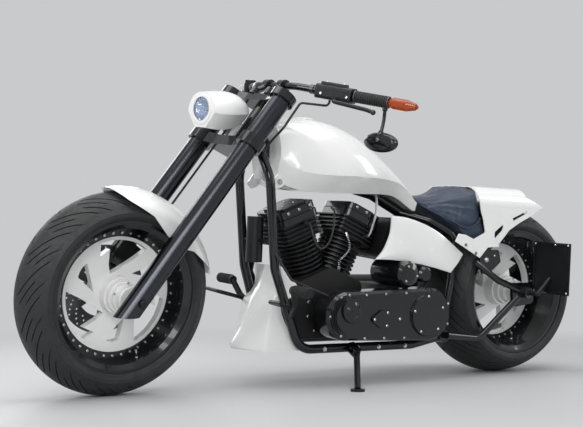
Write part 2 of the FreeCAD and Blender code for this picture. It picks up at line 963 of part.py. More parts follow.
def build_headlight():
    """Egg-topped shell with a crease low on its sides and an arched lens."""
    lamp = on_fork(60, 0, size("lower_clamp_height") + 84)
    stations = [
        (137, 80, 97, 30, -21, 32),
        (96, 86, 104, 28, -24, 38),
        (40, 80, 105, 32, -17, 34),
        (-10, 56, 88, 37, 2, 22),
        (-46, 16, 56, 42, 34, 8),
    ]
    wires = []
    for ahead, half, top, crease, bottom, waist in stations:
        wires.append(
            creased_section(
                lamp.x + ahead, half, lamp.z + top, lamp.z + crease, lamp.z + bottom, waist
            )
        )
    clamp_top = size("lower_clamp_height") + size("lower_clamp_thickness") + size("fit_gap")
    post = cylinder("headlight_post", on_fork(46, 0, clamp_top), on_fork(48, 0, clamp_top + 80), 8)
    face_x = lamp.x + stations[0][0]
    arch = [(-55, 36), (-46, 68), (0, 86), (46, 68), (55, 36), (34, 4), (0, -6), (-34, 4)]

    def arch_prism(name, margin, start, depth):
        middle_z = 40
        scale = 1 - margin / 50
        points = [(y * scale, lamp.z + middle_z + (z - middle_z) * scale) for y, z in arch]
        place = Placement(Vector(start, 0, 0), FRONT_VIEW)
        return prism(name, rounded(points, 9), place, depth, centred=False)

    pocket = arch_prism("headlight_pocket", 0, face_x - 42, 60)
    shell = cut("headlight_hollow", loft("headlight_shell", wires), pocket)
    finish("headlight", fuse("headlight_body", [shell, post]), "steered")
    finish("headlight_lens", arch_prism("headlight_glass", size("fit_gap"), face_x - 9, 6), "steered")


BAR_MIDDLE = on_fork(size("axle_lead"), 0, UPPER_CLAMP + size("upper_clamp_thickness")) + Vector(
    -size("riser_reach"), 0, size("riser_rise")
)


def bar_point(reach, side):
    """Point on the swept arm of the handlebar, from the bend outwards."""
    sweep = math.radians(size("bar_sweep"))
    droop = math.radians(size("bar_droop"))
    return Vector(
        BAR_MIDDLE.x - reach * math.sin(sweep) * math.cos(droop),
        side * (size("bar_half_centre") + reach * math.cos(sweep) * math.cos(droop)),
        BAR_MIDDLE.z - reach * math.sin(droop),
    )


def bar_end_signal(name, start, outwards):
    """Amber bullet on the end of the bar."""
    pieces = [
        cone(f"signal_{name}_neck", start, start + outwards * 14, 13, 19),
        cylinder(f"signal_{name}_body", start + outwards * 14, start + outwards * 62, 19),
        cone(f"signal_{name}_nose", start + outwards * 62, start + outwards * 92, 19, 11),
        cone(f"signal_{name}_tip", start + outwards * 92, start + outwards * 100, 11, 4),
    ]
    return fuse(f"signal_{name}", pieces)


def bar_end_mirror(name, hanger):
    """Oval mirror with a domed back, hung under the end of the grip."""
    centre = hanger + Vector(8, 0, -132)
    stem = cylinder(f"mirror_{name}_stem", hanger + Vector(0, 0, -19), centre + Vector(0, 0, 26), 6.5)
    ovals = []
    for ahead, across, up in ((-8, 77, 32.5), (2, 77, 32.5), (9, 66, 25), (13, 42, 14)):
        ovals.append(oval(centre + X_AXIS * ahead, Y_AXIS * across, Z_AXIS * up))
    head = loft(f"mirror_{name}_head", ovals, ruled=True)
    return fuse(f"mirror_{name}", [stem, head])


def build_handlebar():
    """Low wide bar on two sloping risers, with grips, levers, mirrors and signals."""
    arm = size("bar_arm")
    route = [
        bar_point(arm, -1),
        bar_point(0, -1),
        bar_point(0, 1),
        bar_point(arm, 1),
    ]
    finish("handlebar", pipe("handlebar_solid", route, "Sizes.bar_diameter / 2", 70), "steered")
    grip_start = arm - size("grip_length")
    bore = size("bar_diameter") / 2 + size("fit_gap") / 2
    grips = []
    controls = []
    signals = []
    mirrors = []
    for side, name in ((1, "left"), (-1, "right")):
        inner = bar_point(grip_start, side)
        outer = bar_point(arm, side)
        along_bar = (outer - inner).normalize()
        grips.append(
            cut(
                f"grip_{name}",
                cylinder(f"grip_{name}_body", inner, outer, "Sizes.grip_diameter / 2"),
                cylinder(f"grip_{name}_bore", inner - along_bar, outer + along_bar, bore),
            )
        )
        pod_end = inner - along_bar * 4
        turn = Rotation(Z_AXIS.cross(along_bar), Z_AXIS, along_bar, "ZXY")
        pod_frame = Placement(pod_end - along_bar * 132, turn)
        pod_outline = rounded(
            [(side * 25, -24), (-side * 27, -26), (-side * 30, 22), (side * 22, 26)], 11
        )
        pod = prism(f"pod_{name}", pod_outline, pod_frame, 132, centred=False)
        lid_outline = rounded([(side * 19, 20), (-side * 23, 17), (-side * 24, 32), (side * 16, 34)], 4)
        lid_frame = Placement(pod_end - along_bar * 116, turn)
        lid = prism(f"pod_lid_{name}", lid_outline, lid_frame, 84, centred=False)
        lever = pipe(
            f"lever_{name}",
            [
                bar_point(grip_start - 48, side) + Vector(14, 0, -14),
                bar_point(grip_start - 30, side) + Vector(64, 0, -26),
                bar_point(arm - 34, side) + Vector(58, 0, -34),
                bar_point(arm - 2, side) + Vector(66, 0, -38),
            ],
            7,
            16,
        )
        perch = [pod, lid, lever]
        bored = cut(
            f"control_{name}",
            fuse(f"control_{name}_whole", perch),
            cylinder(f"control_{name}_bore", bar_point(grip_start - 160, side), outer, bore),
        )
        controls.append(bored)
        signals.append(bar_end_signal(name, outer + along_bar * size("fit_gap"), along_bar))
        mirrors.append(bar_end_mirror(name, bar_point(arm - 14, side)))
    finish("grips", compound("grip_pair", grips), "steered")
    finish("hand_control_left", controls[0], "steered")
    finish("hand_control_right", controls[1], "steered")
    finish("mirrors", compound("mirror_pair", mirrors), "steered")
    finish("turn_signals", compound("turn_signals_pair", signals), "steered")
    build_risers()


def compound(name, pieces):
    """Several solids of one kind that don't touch, kept as one piece."""
    doc.recompute()
    group = doc.addObject("Part::Compound", name)
    group.Links = pieces
    return group


def build_risers():
    """Two pull-back arms from the upper clamp to the bar."""
    top = UPPER_CLAMP + size("upper_clamp_thickness") + size("fit_gap")
    risers = []
    bar = BAR_MIDDLE
    for side, name in ((1, "left"), (-1, "right")):
        y = side * size("riser_spacing") / 2
        foot = on_fork(size("axle_lead") - 4, y, top)
        head = Vector(bar.x, y, bar.z)
        post = cylinder(
            f"riser_{name}_post", foot, foot + STEER_UP * 26, "Sizes.riser_diameter / 2"
        )
        arm = cylinder(f"riser_{name}_arm", foot + STEER_UP * 14, head, 12)
        eye = cylinder(
            f"riser_{name}_eye",
            head - Y_AXIS * 14,
            head + Y_AXIS * 14,
            size("bar_diameter") / 2 + 9,
        )
        bore = cylinder(
            f"riser_{name}_bore",
            head - Y_AXIS * 20,
            head + Y_AXIS * 20,
            size("bar_diameter") / 2 + size("fit_gap") / 2,
        )
        risers.append(cut(f"riser_{name}", fuse(f"riser_{name}_whole", [post, arm, eye]), bore))
    finish("risers", compound("riser_pair", risers), "steered")


def build_lines():
    """Brake hose down the right leg, and the clutch line, split where it meets the steering."""
    radius = size("line_diameter") / 2
    clamp = size("lower_clamp_height")
    under_pod = Vector(-4, 0, -26.2)
    drop = Vector(0, 0, -20)
    hose = [
        bar_point(130, -1) + under_pod,
        bar_point(130, -1) + under_pod + drop,
        on_fork(-14, -176, UPPER_CLAMP + 52),
        on_fork(-3, -138, UPPER_CLAMP + 8),
        on_fork(-3, -138, 300),
        on_fork(0, -106.5, 244),
        on_fork(48, -106.5, 206),
        on_fork(50, -104, 179.3),
    ]
    finish("brake_hose", pipe("brake_hose_solid", hose, radius, 12), "steered")
    upper = [
        bar_point(130, 1) + under_pod,
        bar_point(130, 1) + under_pod + drop,
        on_fork(10, 190, UPPER_CLAMP + 30),
        on_fork(8, 190, clamp + 122),
        on_fork(-33.6, 105.7, clamp + 90),
        on_fork(-33.6, 105.7, clamp + 72),
    ]
    finish("clutch_line_upper", pipe("clutch_line_upper_solid", upper, radius, 16), "steered")
    lower = [
        on_fork(-48, 100, clamp + 66),
        on_fork(-53, 101, clamp + 40),
        on_fork(-88, 122, clamp + 12),
        Vector(along(1144), 131, 690),
        Vector(along(1128), 131, 470),
        Vector(along(1066), 142, 382),
        Vector(size("crank_x") + 53, 160, size("crank_z") - 12 + 67.5),
    ]
    finish("clutch_line_lower", pipe("clutch_line_lower_solid", lower, radius, 12))


# Frame


def backbone_route():
    """Middle line of the backbone, from the neck down to the seat rails."""
    return [
        on_fork(-8, 0, size("lower_clamp_height") + 112),
        Vector(along(1010), 0, 766),
        Vector(along(640), 0, 690),
        Vector(along(470), 0, 612),
    ]


def build_frame():
    """Head tube, backbone, downtubes, cradle rails and rear triangle."""
    lower = size("lower_clamp_height") + size("lower_clamp_thickness") + 0.5
    upper = UPPER_CLAMP - 0.5
    tube = "Sizes.tube_diameter / 2"
    rear_tube = size("rear_tube_diameter") / 2
    neck = cylinder(
        "neck_tube", on_fork(0, 0, lower), on_fork(0, 0, upper), "Sizes.head_tube_diameter / 2"
    )
    backbone = pipe(
        "backbone_tube",
        backbone_route(),
        "Sizes.backbone_diameter / 2",
        90,
    )
    bore = cylinder(
        "neck_bore",
        on_fork(0, 0, lower - 1),
        on_fork(0, 0, upper + 1),
        size("stem_diameter") / 2 + 0.8,
    )
    spine = cut("spine_solid", fuse("spine_whole", [neck, backbone]), bore)
    finish("frame_backbone", spine)
    for side, name, rear in (
        (1, "left", size("swingarm_left")),
        (-1, "right", size("swingarm_right")),
    ):
        down_y = side * size("downtube_spacing") / 2
        rail_y = side * size("rail_spacing") / 2
        rail_z = size("rail_height")
        inset = size("swingarm_left") - size("upright_inset")
        pivot = Vector(388, side * inset, rail_z + 30)
        cradle = pipe(
            f"cradle_{name}",
            [
                on_fork(-26, side * 34, size("lower_clamp_height") + 90),
                Vector(along(1146), down_y, 724),
                Vector(along(1112), down_y, 415),
                Vector(along(1012), rail_y, rail_z),
                Vector(520, rail_y, rail_z),
                pivot,
            ],
            tube,
            70,
        )
        trimmed = cut(
            f"cradle_{name}_solid",
            cradle,
            cylinder(
                f"cradle_{name}_trim",
                on_fork(0, 0, lower - 60),
                on_fork(0, 0, upper + 60),
                size("head_tube_diameter") / 2 + size("fit_gap"),
            ),
        )
        tubes = [trimmed]
        if side > 0:
            tubes += stand_bracket()
        seat_rail = pipe(
            f"rear_rail_{name}",
            [
                Vector(512, side * 10, 626),
                Vector(436, side * 96, 598),
                Vector(346, side * inset, 548),
                Vector(352, side * inset, 380),
                pivot,
            ],
            rear_tube,
            40,
        )
        end = backbone_route()[-1]
        run = (end - backbone_route()[-2]).normalize()
        seat_rail_cut = cut(
            f"rear_rail_{name}_solid",
            seat_rail,
            cylinder(
                f"rear_rail_{name}_trim",
                end - run * 120,
                end + run * 40,
                size("backbone_diameter") / 2 + size("fit_gap"),
            ),
        )
        strut_boss = cylinder(
            f"strut_boss_{name}",
            Vector(350, side * inset, 533),
            Vector(350, side * (size("strut_inner") - size("fit_gap")), 533),
            9,
        )
        boss = cylinder(
            f"pivot_boss_{name}",
            Vector(pivot.x, side * (inset - 19), pivot.z),
            Vector(pivot.x, side * (rear - rear_tube - size("fit_gap")), pivot.z),
            23,
        )
        tubes += [seat_rail_cut, strut_boss, boss]
        finish(f"frame_side_{name}", fuse(f"frame_side_{name}_solid", tubes))
        build_swingarm(side, name, side * rear)


def build_swingarm(side, name, y):
    """Triangle of round tube on one side, with a plate that holds the axle."""
    tube = size("rear_tube_diameter") / 2
    above_axle = REAR_AXLE + Vector(34, y, 12)
    below_axle = REAR_AXLE + Vector(34, y, -20)
    upper_route = [Vector(268, y, 452), Vector(140, y, 380), above_axle]
    lower_route = [Vector(388, y, 176), Vector(226, y, 160), below_axle]
    upper = pipe(f"swingarm_{name}_upper", upper_route, tube, 90)
    lower = pipe(f"swingarm_{name}_lower", lower_route, tube, 70)
    gusset_outline = rounded([(255, 497), (150, 499), (136, 453), (187, 412), (228, 404)], 8)
    gusset = side_prism(f"swingarm_{name}_gusset", gusset_outline, y, 9)
    plate_outline = rounded([(-46, 292), (60, 276), (74, 372), (-46, 372)], 16)
    plate = side_prism(f"swingarm_{name}_plate", plate_outline, y, 14)
    hole = cylinder(
        f"swingarm_{name}_hole",
        REAR_AXLE + Vector(0, y - 60, 0),
        REAR_AXLE + Vector(0, y + 60, 0),
        size("axle_diameter") / 2 + size("fit_gap"),
    )
    whole = fuse(f"swingarm_{name}_whole", [upper, lower, plate, gusset])
    arm = cut(f"swingarm_{name}_solid", whole, hole)
    finish(f"swingarm_{name}", arm)


def build_rear_caliper():
    """Caliper behind the axle, on a bracket inside the right swingarm plate."""
    plate_face = -size("swingarm_right") + 7 + size("fit_gap")
    bracket_outline = rounded([(-176, 304), (-40, 298), (24, 298), (24, 369), (-40, 369), (-176, 363)], 12)
    bracket = side_prism("rear_caliper_bracket", bracket_outline, plate_face + 3.5, 7)
    middle = -size("rear_disc_offset")
    depth = middle + 11 - plate_face
    body_outline = rounded([(-186, 296), (-132, 302), (-132, 365), (-186, 371)], 10)
    body = side_prism("rear_caliper_body", body_outline, plate_face + depth / 2, depth)
    disc_room = side_prism(
        "rear_caliper_slot", polygon([(-155, 280), (-100, 280), (-100, 390), (-155, 390)]), middle, 16
    )
    bore = cylinder(
        "rear_caliper_bore",
        REAR_AXLE + Vector(0, plate_face - 10, 0),
        REAR_AXLE + Vector(0, plate_face + 30, 0),
        size("axle_diameter") / 2 + size("fit_gap"),
    )
    whole = fuse("rear_caliper_whole", [bracket, body])
    finish("rear_caliper", cut("rear_caliper_solid", whole, fuse("rear_caliper_cuts", [disc_room, bore])))


def build_rear_axle():
    """Hollow axle with a nut each side."""
    left = size("swingarm_left") + 34
    right = size("swingarm_right") + 34
    radius = size("axle_diameter") / 2
    shaft = cylinder(
        "rear_axle_shaft", REAR_AXLE - Y_AXIS * right, REAR_AXLE + Y_AXIS * left, radius
    )
    nuts = []
    for start, end in (
        (size("swingarm_left") + 7.3, left - 6),
        (-size("swingarm_right") - 7.3, -right + 6),
    ):
        nuts.append(
            cylinder(
                f"rear_axle_nut_{int(start)}",
                REAR_AXLE + Vector(0, start, 0),
                REAR_AXLE + Vector(0, end, 0),
                radius + 9,
            )
        )
    bore = cylinder(
        "rear_axle_bore",
        REAR_AXLE - Y_AXIS * (right + 1),
        REAR_AXLE + Y_AXIS * (left + 1),
        radius - 4.5,
    )
    solid = cut("rear_axle_solid", fuse("rear_axle_whole", [shaft] + nuts), bore)
    finish("rear_axle", solid)


# Engine and drive


def cylinder_axis(lean):
    """Upward direction of one cylinder of the vee."""
    angle = math.radians(lean)
    return Vector(math.sin(angle), 0, math.cos(angle))


CRANK = Vector(size("crank_x"), 0, size("crank_z"))


def finned_head(name, base, turn, right, height):
    """Cylinder head with five flat fins round its middle."""
    core = prism(
        f"{name}_head_core",
        rounded([(-72, -right), (72, -right), (72, 76), (-72, 76)], 20),
        Placement(base, turn),
        height,
        centred=False,
    )
    layers = [core]
    fins = 5
    thickness = 4.5
    for i in range(fins):
        up = turn.multVec(Z_AXIS) * (i * (height - thickness) / (fins - 1))
        layers.append(
            prism(
                f"{name}_head_fin_{i}",
                rounded([(-84, -right), (84, -right), (84, 88), (-84, 88)], 24),
                Placement(base + up, turn),
                thickness,
                centred=False,
            )
        )
    return fuse(f"{name}_head", layers)


def rocker_cover(name, base, turn, height):
    """Rocker box in three steps with a raised lid."""
    layers = []
    for i, (low, high, half_x, half_y) in enumerate(
        ((0, 0.38, 78, 94), (0.38, 0.5, 72, 86), (0.5, 0.86, 76, 91), (0.86, 1, 58, 72))
    ):
        corners = [(-half_x, -half_y), (half_x, -half_y), (half_x, half_y), (-half_x, half_y)]
        start = base + turn.multVec(Z_AXIS) * (low * height)
        layers.append(
            prism(
                f"{name}_rocker_{i}",
                rounded(corners, 28),
                Placement(start, turn),
                (high - low) * height,
                centred=False,
            )
        )
    return fuse(f"{name}_rocker", layers)


def build_engine():
    """Finned air-cooled vee twin with the barrels in line, and its gearbox."""
    half_vee = size("vee_angle") / 2
    foot = size("cylinder_foot")
    height = size("cylinder_height")
    head = size("head_height")
    rocker = size("rocker_height")
    right = size("head_right")
    barrels = []
    heads = []
    covers = []
    for lean, name in ((half_vee, "front"), (-half_vee, "rear")):
        up = cylinder_axis(lean)
        base = CRANK + up * foot
        discs = [cylinder(f"{name}_barrel", base, base + up * height, "Sizes.barrel_radius")]
        pitch = (height - size("fin_thickness")) / (size("fin_count") - 1)
        for i in range(int(size("fin_count"))):
            low = base + up * (pitch * i)
            discs.append(
                cylinder(
                    f"{name}_fin_{i}", low, low + up * size("fin_thickness"), "Sizes.fin_radius"
                )
            )
        side = 1 if lean > 0 else -1
        beyond = block(
            f"{name}_vee_trim",
            CRANK + Vector(side * 1.5 - (300 if side > 0 else 0), -120, 0),
            300,
            240,
            400,
        )
        barrels.append(cut(f"{name}_cylinder", fuse(f"{name}_cylinder_discs", discs), beyond))
        head_base = base + up * (height + size("fit_gap"))
        turn = Rotation(Z_AXIS, up)
        heads.append(finned_head(name, head_base, turn, right, head))
        cover_base = head_base + up * (head + size("fit_gap"))
        covers.append(rocker_cover(name, cover_base, turn, rocker))
    finish("engine_cylinder_front", barrels[0])
    finish("engine_cylinder_rear", barrels[1])
    finish("cylinder_heads", compound("cylinder_head_pair", heads))
    finish("rocker_covers", compound("rocker_cover_pair", covers))
    build_crankcase()


def build_crankcase():
    """Crankcase under the vee, with flat seats square to each barrel."""
    outline = [
        (752, 176),
        (1000, 176),
        (1032, 230),
        (1012, 318),
    ]
    half_vee = math.radians(size("vee_angle") / 2)
    foot = size("cylinder_foot") - size("fit_gap")
    seat = 84
    for sign in (1, -1):
        along = Vector(math.cos(half_vee), 0, -sign * math.sin(half_vee))
        middle = CRANK + cylinder_axis(sign * size("vee_angle") / 2) * foot
        ends = (middle + along * seat, middle - along * (seat - 32))
        if sign < 0:
            ends = (middle + along * (seat - 32), middle - along * seat)
        for end in ends:
            outline.append((end.x, end.z))
    outline.append((718, 300))
    case = side_prism("crankcase_body", polygon(outline), 0, "Sizes.case_width")
    flange = cylinder(
        "crankcase_flange",
        CRANK - Z_AXIS * 12,
        CRANK - Z_AXIS * 12 + Y_AXIS * (size("primary_inner") - size("fit_gap")),
        66,
    )
    finish("crankcase", fuse("crankcase_solid", [case, flange]))


def stadium(name, middle_x, nose, drum, start, end, inset):
    """Slab round the nose and the drum of the primary, tapered by an inset towards its end."""
    low = size("crank_z") - 12
    ends = []
    for label, x, radius in (("nose", middle_x, nose), ("drum", size("clutch_x"), drum)):
        ends.append(
            cone(
                f"{name}_{label}", Vector(x, start, low), Vector(x, end, low), radius, radius - inset
            )
        )
    wires = []
    for y, margin in ((start, 0.5), (end, inset + 0.5)):
        corners = [
            Vector(middle_x, y, low - nose + margin),
            Vector(middle_x, y, low + nose - margin),
            Vector(size("clutch_x"), y, low + drum - margin),
            Vector(size("clutch_x"), y, low - drum + margin),
        ]
        wires.append(Part.makePolygon(corners + [corners[0]]))
    return fuse(name, ends + [loft(f"{name}_web", wires, ruled=True)])


def build_primary():
    """Long cast cover on the left over the primary drive, with a dome, lids and ribs."""
    inner = size("primary_inner")
    outer = size("primary_outer")
    nose = size("primary_nose_radius")
    drum = size("clutch_radius")
    low = size("crank_z") - 12
    edge = outer - 14
    nose_x = size("crank_x")
    pieces = [
        stadium("primary_case", nose_x, nose, drum, inner, edge - 12, 0.01),
        stadium("primary_bevel", nose_x, nose, drum, edge - 12, edge, 9),
    ]
    derby = Vector(size("clutch_x") + 15, edge - 1, low)
    pieces.append(cone("primary_derby", derby, derby + Y_AXIS * 11, 79, 75))
    lid = Placement(Vector(nose_x - 163, edge + 3, low - 11), SIDE_VIEW)
    lid_outline = rounded([(-72, 0), (-24, 32), (24, 32), (72, 0), (24, -32), (-24, -32)], 12)
    pieces.append(prism("primary_lid", lid_outline, lid, 10))
    dome = Vector(nose_x - 16, edge - 1, low + 22)
    pieces.append(cone("primary_dome_base", dome, dome + Y_AXIS * 9, 46, 42))
    pieces.append(cone("primary_dome", dome + Y_AXIS * 9, dome + Y_AXIS * 15, 30, 20))
    front_half = side_prism(
        "primary_rib_window",
        polygon(
            [
                (nose_x + 14, low - 90),
                (nose_x + 100, low - 90),
                (nose_x + 100, low + 90),
                (nose_x + 14, low + 90),
            ]
        ),
        outer,
        60,
    )
    rings = []
    for i, radius in enumerate((53, 60, 67, 73)):
        profile = [
            (edge - 1, radius - 3),
            (edge + 6, radius - 2),
            (edge + 6, radius),
            (edge - 1, radius + 1),
        ]
        rings.append(turned(f"primary_rib_{i}", polygon(profile), Vector(nose_x, 0, low)))
    pieces.append(common("primary_ribs", fuse("primary_rib_rings", rings), front_half))
    finish("primary_cover", fuse("primary_solid", pieces))


def build_gearbox():
    """Gearbox behind the crankcase, with the starter above it and the belt pulley."""
    outline = rounded([(420, 180), (700, 180), (700, 326), (640, 356), (552, 356), (420, 312)], 14)
    left = size("primary_inner") - size("fit_gap")
    box = side_prism("gearbox_solid", outline, (left - 95) / 2, left + 95)
    start = Vector(596, 20, 404.6)
    face = start + Y_AXIS * 164
    solenoid = start + Vector(-84, 40, -2)
    starter = [
        cylinder("starter_body", start, face, 48),
        cone("starter_shoulder", face, face + Y_AXIS * 10, 48, 40),
        cone("starter_end", face + Y_AXIS * 10, face + Y_AXIS * 16, 40, 22),
        cylinder("solenoid_body", solenoid, solenoid + Y_AXIS * 118, 30),
        cone("solenoid_end", solenoid + Y_AXIS * 118, solenoid + Y_AXIS * 126, 30, 22),
        block("starter_bridge", start + Vector(-84, 70, -22), 84, 70, 40),
    ]
    finish("starter_motor", fuse("starter_solid", starter))
    y = -size("belt_offset")
    middle = Vector(size("pulley_x"), y, size("pulley_z"))
    pulley = cylinder(
        "front_pulley_solid",
        middle - Y_AXIS * 11,
        Vector(size("pulley_x"), -90, size("pulley_z")),
        "Sizes.front_pulley_radius",
    )
    finish("gearbox", fuse("gearbox_with_pulley", [box, pulley]))
    build_belt(y)


def build_belt(y):
    """Flat toothed belt as one closed loop round both pulleys."""
    gap = 0.5
    rear = Vector(REAR_AXLE.x, REAR_AXLE.z, 0)
    front = Vector(size("pulley_x"), size("pulley_z"), 0)
    span = front - rear
    geometry = []
    for extra in (gap, gap + size("belt_thickness")):
        big = size("rear_pulley_radius") + extra
        small = size("front_pulley_radius") + extra
        heading = math.atan2(span.y, span.x)
        spread = math.acos((big - small) / span.Length)

        def rim_point(centre, radius, angle):
            return centre + Vector(math.cos(angle), math.sin(angle), 0) * radius

        upper = heading + spread
        lower = heading - spread
        rear_top = rim_point(rear, big, upper)
        rear_low = rim_point(rear, big, lower)
        front_top = rim_point(front, small, upper)
        front_low = rim_point(front, small, lower)
        geometry.append(Part.LineSegment(rear_top, front_top))
        geometry.append(Part.Arc(front_top, rim_point(front, small, heading), front_low))
        geometry.append(Part.LineSegment(front_low, rear_low))
        geometry.append(Part.Arc(rear_low, rim_point(rear, big, heading + math.pi), rear_top))
    finish("drive_belt", side_prism("belt_solid", geometry, y, size("belt_width") - 2 * size("belt_margin")))


def build_right_side():
    """Cam cover with pushrod tubes, air cleaner and two exhaust pipes."""
    y = -size("case_width") / 2 - size("fit_gap")
    cover = side_prism(
        "cam_cover_body",
        [Part.Circle(Vector(size("crank_x") + 18, size("crank_z") + 8, 0), Z_AXIS, 82)],
        y - 21,
        42,
    )
    tubes = []
    half_vee = size("vee_angle") / 2
    for lean, name in ((half_vee, "front"), (-half_vee, "rear")):
        up = cylinder_axis(lean)
        for i, shift in enumerate((-16, 16)):
            across = Vector(up.z, 0, -up.x)
            low = CRANK + up * 64 + across * shift * 0.6 - Y_AXIS * 116
            high = CRANK + up * (size("cylinder_foot") + size("cylinder_height") - 4) + across * shift
            high = high - Y_AXIS * 90
            tubes.append(cylinder(f"pushrod_{name}_{i}", low, high, 8))
    finish("cam_cover", fuse("cam_cover_solid", [cover] + tubes))
    middle = Vector(size("crank_x"), -150, 560)
    parts = [
        cylinder("cleaner_cover", middle, middle - Y_AXIS * 54, 84),
        cylinder("cleaner_throat", middle + Y_AXIS * 140, middle - Y_AXIS * 4, 21),
    ]
    for side in (1, -1):
        bolt = middle + Vector(side * 62, -4, 25)
        face = Vector(bolt.x, -size("head_right") - size("fit_gap"), bolt.z)
        parts.append(cylinder(f"breather_bolt_{side}", bolt, face, 9))
    finish("air_cleaner", fuse("cleaner_solid", parts))
    systems = []
    routes = {
        "front": [
            Vector(1022, -100.3, 556),
            Vector(1022, -190, 556),
            Vector(1010, -262, 380),
            Vector(930, -276, 236),
            Vector(160, -276, 236),
        ],
        "rear": [
            Vector(716, -100.3, 560),
            Vector(716, -186, 560),
            Vector(640, -264, 400),
            Vector(560, -276, 330),
            Vector(220, -276, 330),
        ],
    }
    for name, points in routes.items():
        header = pipe(f"exhaust_{name}_pipe", points, 22, 40)
        muffler = cylinder(
            f"exhaust_{name}_muffler",
            points[-1] + Vector(400, 0, 0),
            points[-1] + Vector(-120, 0, 0),
            37,
        )
        systems.append(fuse(f"exhaust_{name}_solid", [header, muffler]))
    finish("exhaust_pipes", compound("exhaust_pair", systems))


# Bodywork


def build_tank():
    """Stretched tank that falls to a pointed tail in front of the seat."""
    wide = size("tank_half_width")
    stations = [
        (1104, 0.62, 917, 800, 722, 0.46),
        (1066, 0.74, 931, 764, 700, 0.52),
        (1026, 0.86, 940, 750, 689, 0.58),
        (960, 0.97, 943, 744, 686, 0.66),
        (860, 1.0, 931, 745, 686, 0.68),
        (760, 0.93, 893, 745, 686, 0.62),
        (660, 0.76, 831, 742, 689, 0.52),
        (580, 0.60, 768, 728, 680, 0.42),
        (510, 0.46, 704, 690, 646, 0.36),
        (474, 0.40, 676, 664, 634, 0.34),
    ]
    wires = []
    for x, share, top, crease, bottom, waist in stations:
        wires.append(creased_section(along(x), wide * share, top, crease, bottom, wide * waist))
    body = loft("tank_body", wires)
    ridge = pipe("tank_ridge", backbone_route(), size("backbone_diameter") / 2 + size("fit_gap"), 90)
    outline = [(1240, 560), (400, 560)]
    for point in reversed(backbone_route()):
        outline.append((point.x, point.z))
    slot = side_prism("tank_slot", polygon(outline), 0, size("backbone_diameter") + 4)
    neck_room = cylinder(
        "tank_neck_room",
        on_fork(0, 0, size("lower_clamp_height")),
        on_fork(0, 0, UPPER_CLAMP + 80),
        size("head_tube_diameter") / 2 + 8,
    )
    shell = cut("tank_shell", body, fuse("tank_tunnel", [ridge, slot, neck_room]))
    lug_corners = [(1052, 730), (1100, 744), (1127, 706), (1112, 686), (1086, 696)]
    lugs = []
    for side in (1, -1):
        lug_outline = rounded([(along(x), z) for x, z in lug_corners], 7)
        lugs.append(side_prism(f"tank_lug_{side}", lug_outline, side * 84, 8))
    finish("fuel_tank", fuse("tank_solid", [shell] + lugs))


# Front edge of the rear fender, which the saddle meets, from low to high
FENDER_FRONT = [(219, 508), (214, 560), (226, 609), (241, 645), (251.7, 700)]


def seat_section(x, half, top, bottom):
    """Closed rounded section of the saddle."""
    curve = Part.BSplineCurve()
    curve.interpolate(
        [
            Vector(x, half, bottom + (top - bottom) * 0.3),
            Vector(x, half * 0.72, bottom + (top - bottom) * 0.88),
            Vector(x, 0, top),
            Vector(x, -half * 0.72, bottom + (top - bottom) * 0.88),
            Vector(x, -half, bottom + (top - bottom) * 0.3),
        ]
    )
    low = [
        Vector(x, -half, bottom + (top - bottom) * 0.3),
        Vector(x, -half * 0.86, bottom),
        Vector(x, half * 0.86, bottom),
        Vector(x, half, bottom + (top - bottom) * 0.3),
    ]
    edges = [curve.toShape()]
    for first, second in zip(low, low[1:]):
        edges.append(Part.LineSegment(first, second).toShape())
    return Part.Wire(edges)


def build_seat():
    """Solo saddle, low at the front and swept up to the fender, deep at its sides."""
    stations = [
        (474 - size("fit_gap"), 62, 688, 664),
        (440, 84, 677, 640),
        (380, 114, 682, 604),
        (344, 131, 696, 582),
        (318, 140, 707, 560),
        (290, 146, 718, 549),
        (262, 150, 730, 563),
        (228, 152, 738, 596),
        (200, 152, 740, 618),
    ]
    wires = [seat_section(*station) for station in stations]
    behind = [(160, 800), (160, 520)]
    for x, z in FENDER_FRONT:
        behind.append((x + 2 * size("fit_gap"), z))
    behind.append((FENDER_FRONT[-1][0] + 2 * size("fit_gap"), 800))
    tail = side_prism("seat_tail_cut", polygon(behind), 0, 4 * size("fender_half_width"))
    finish("seat_pad", cut("seat_trimmed", loft("seat_solid", wires), tail))


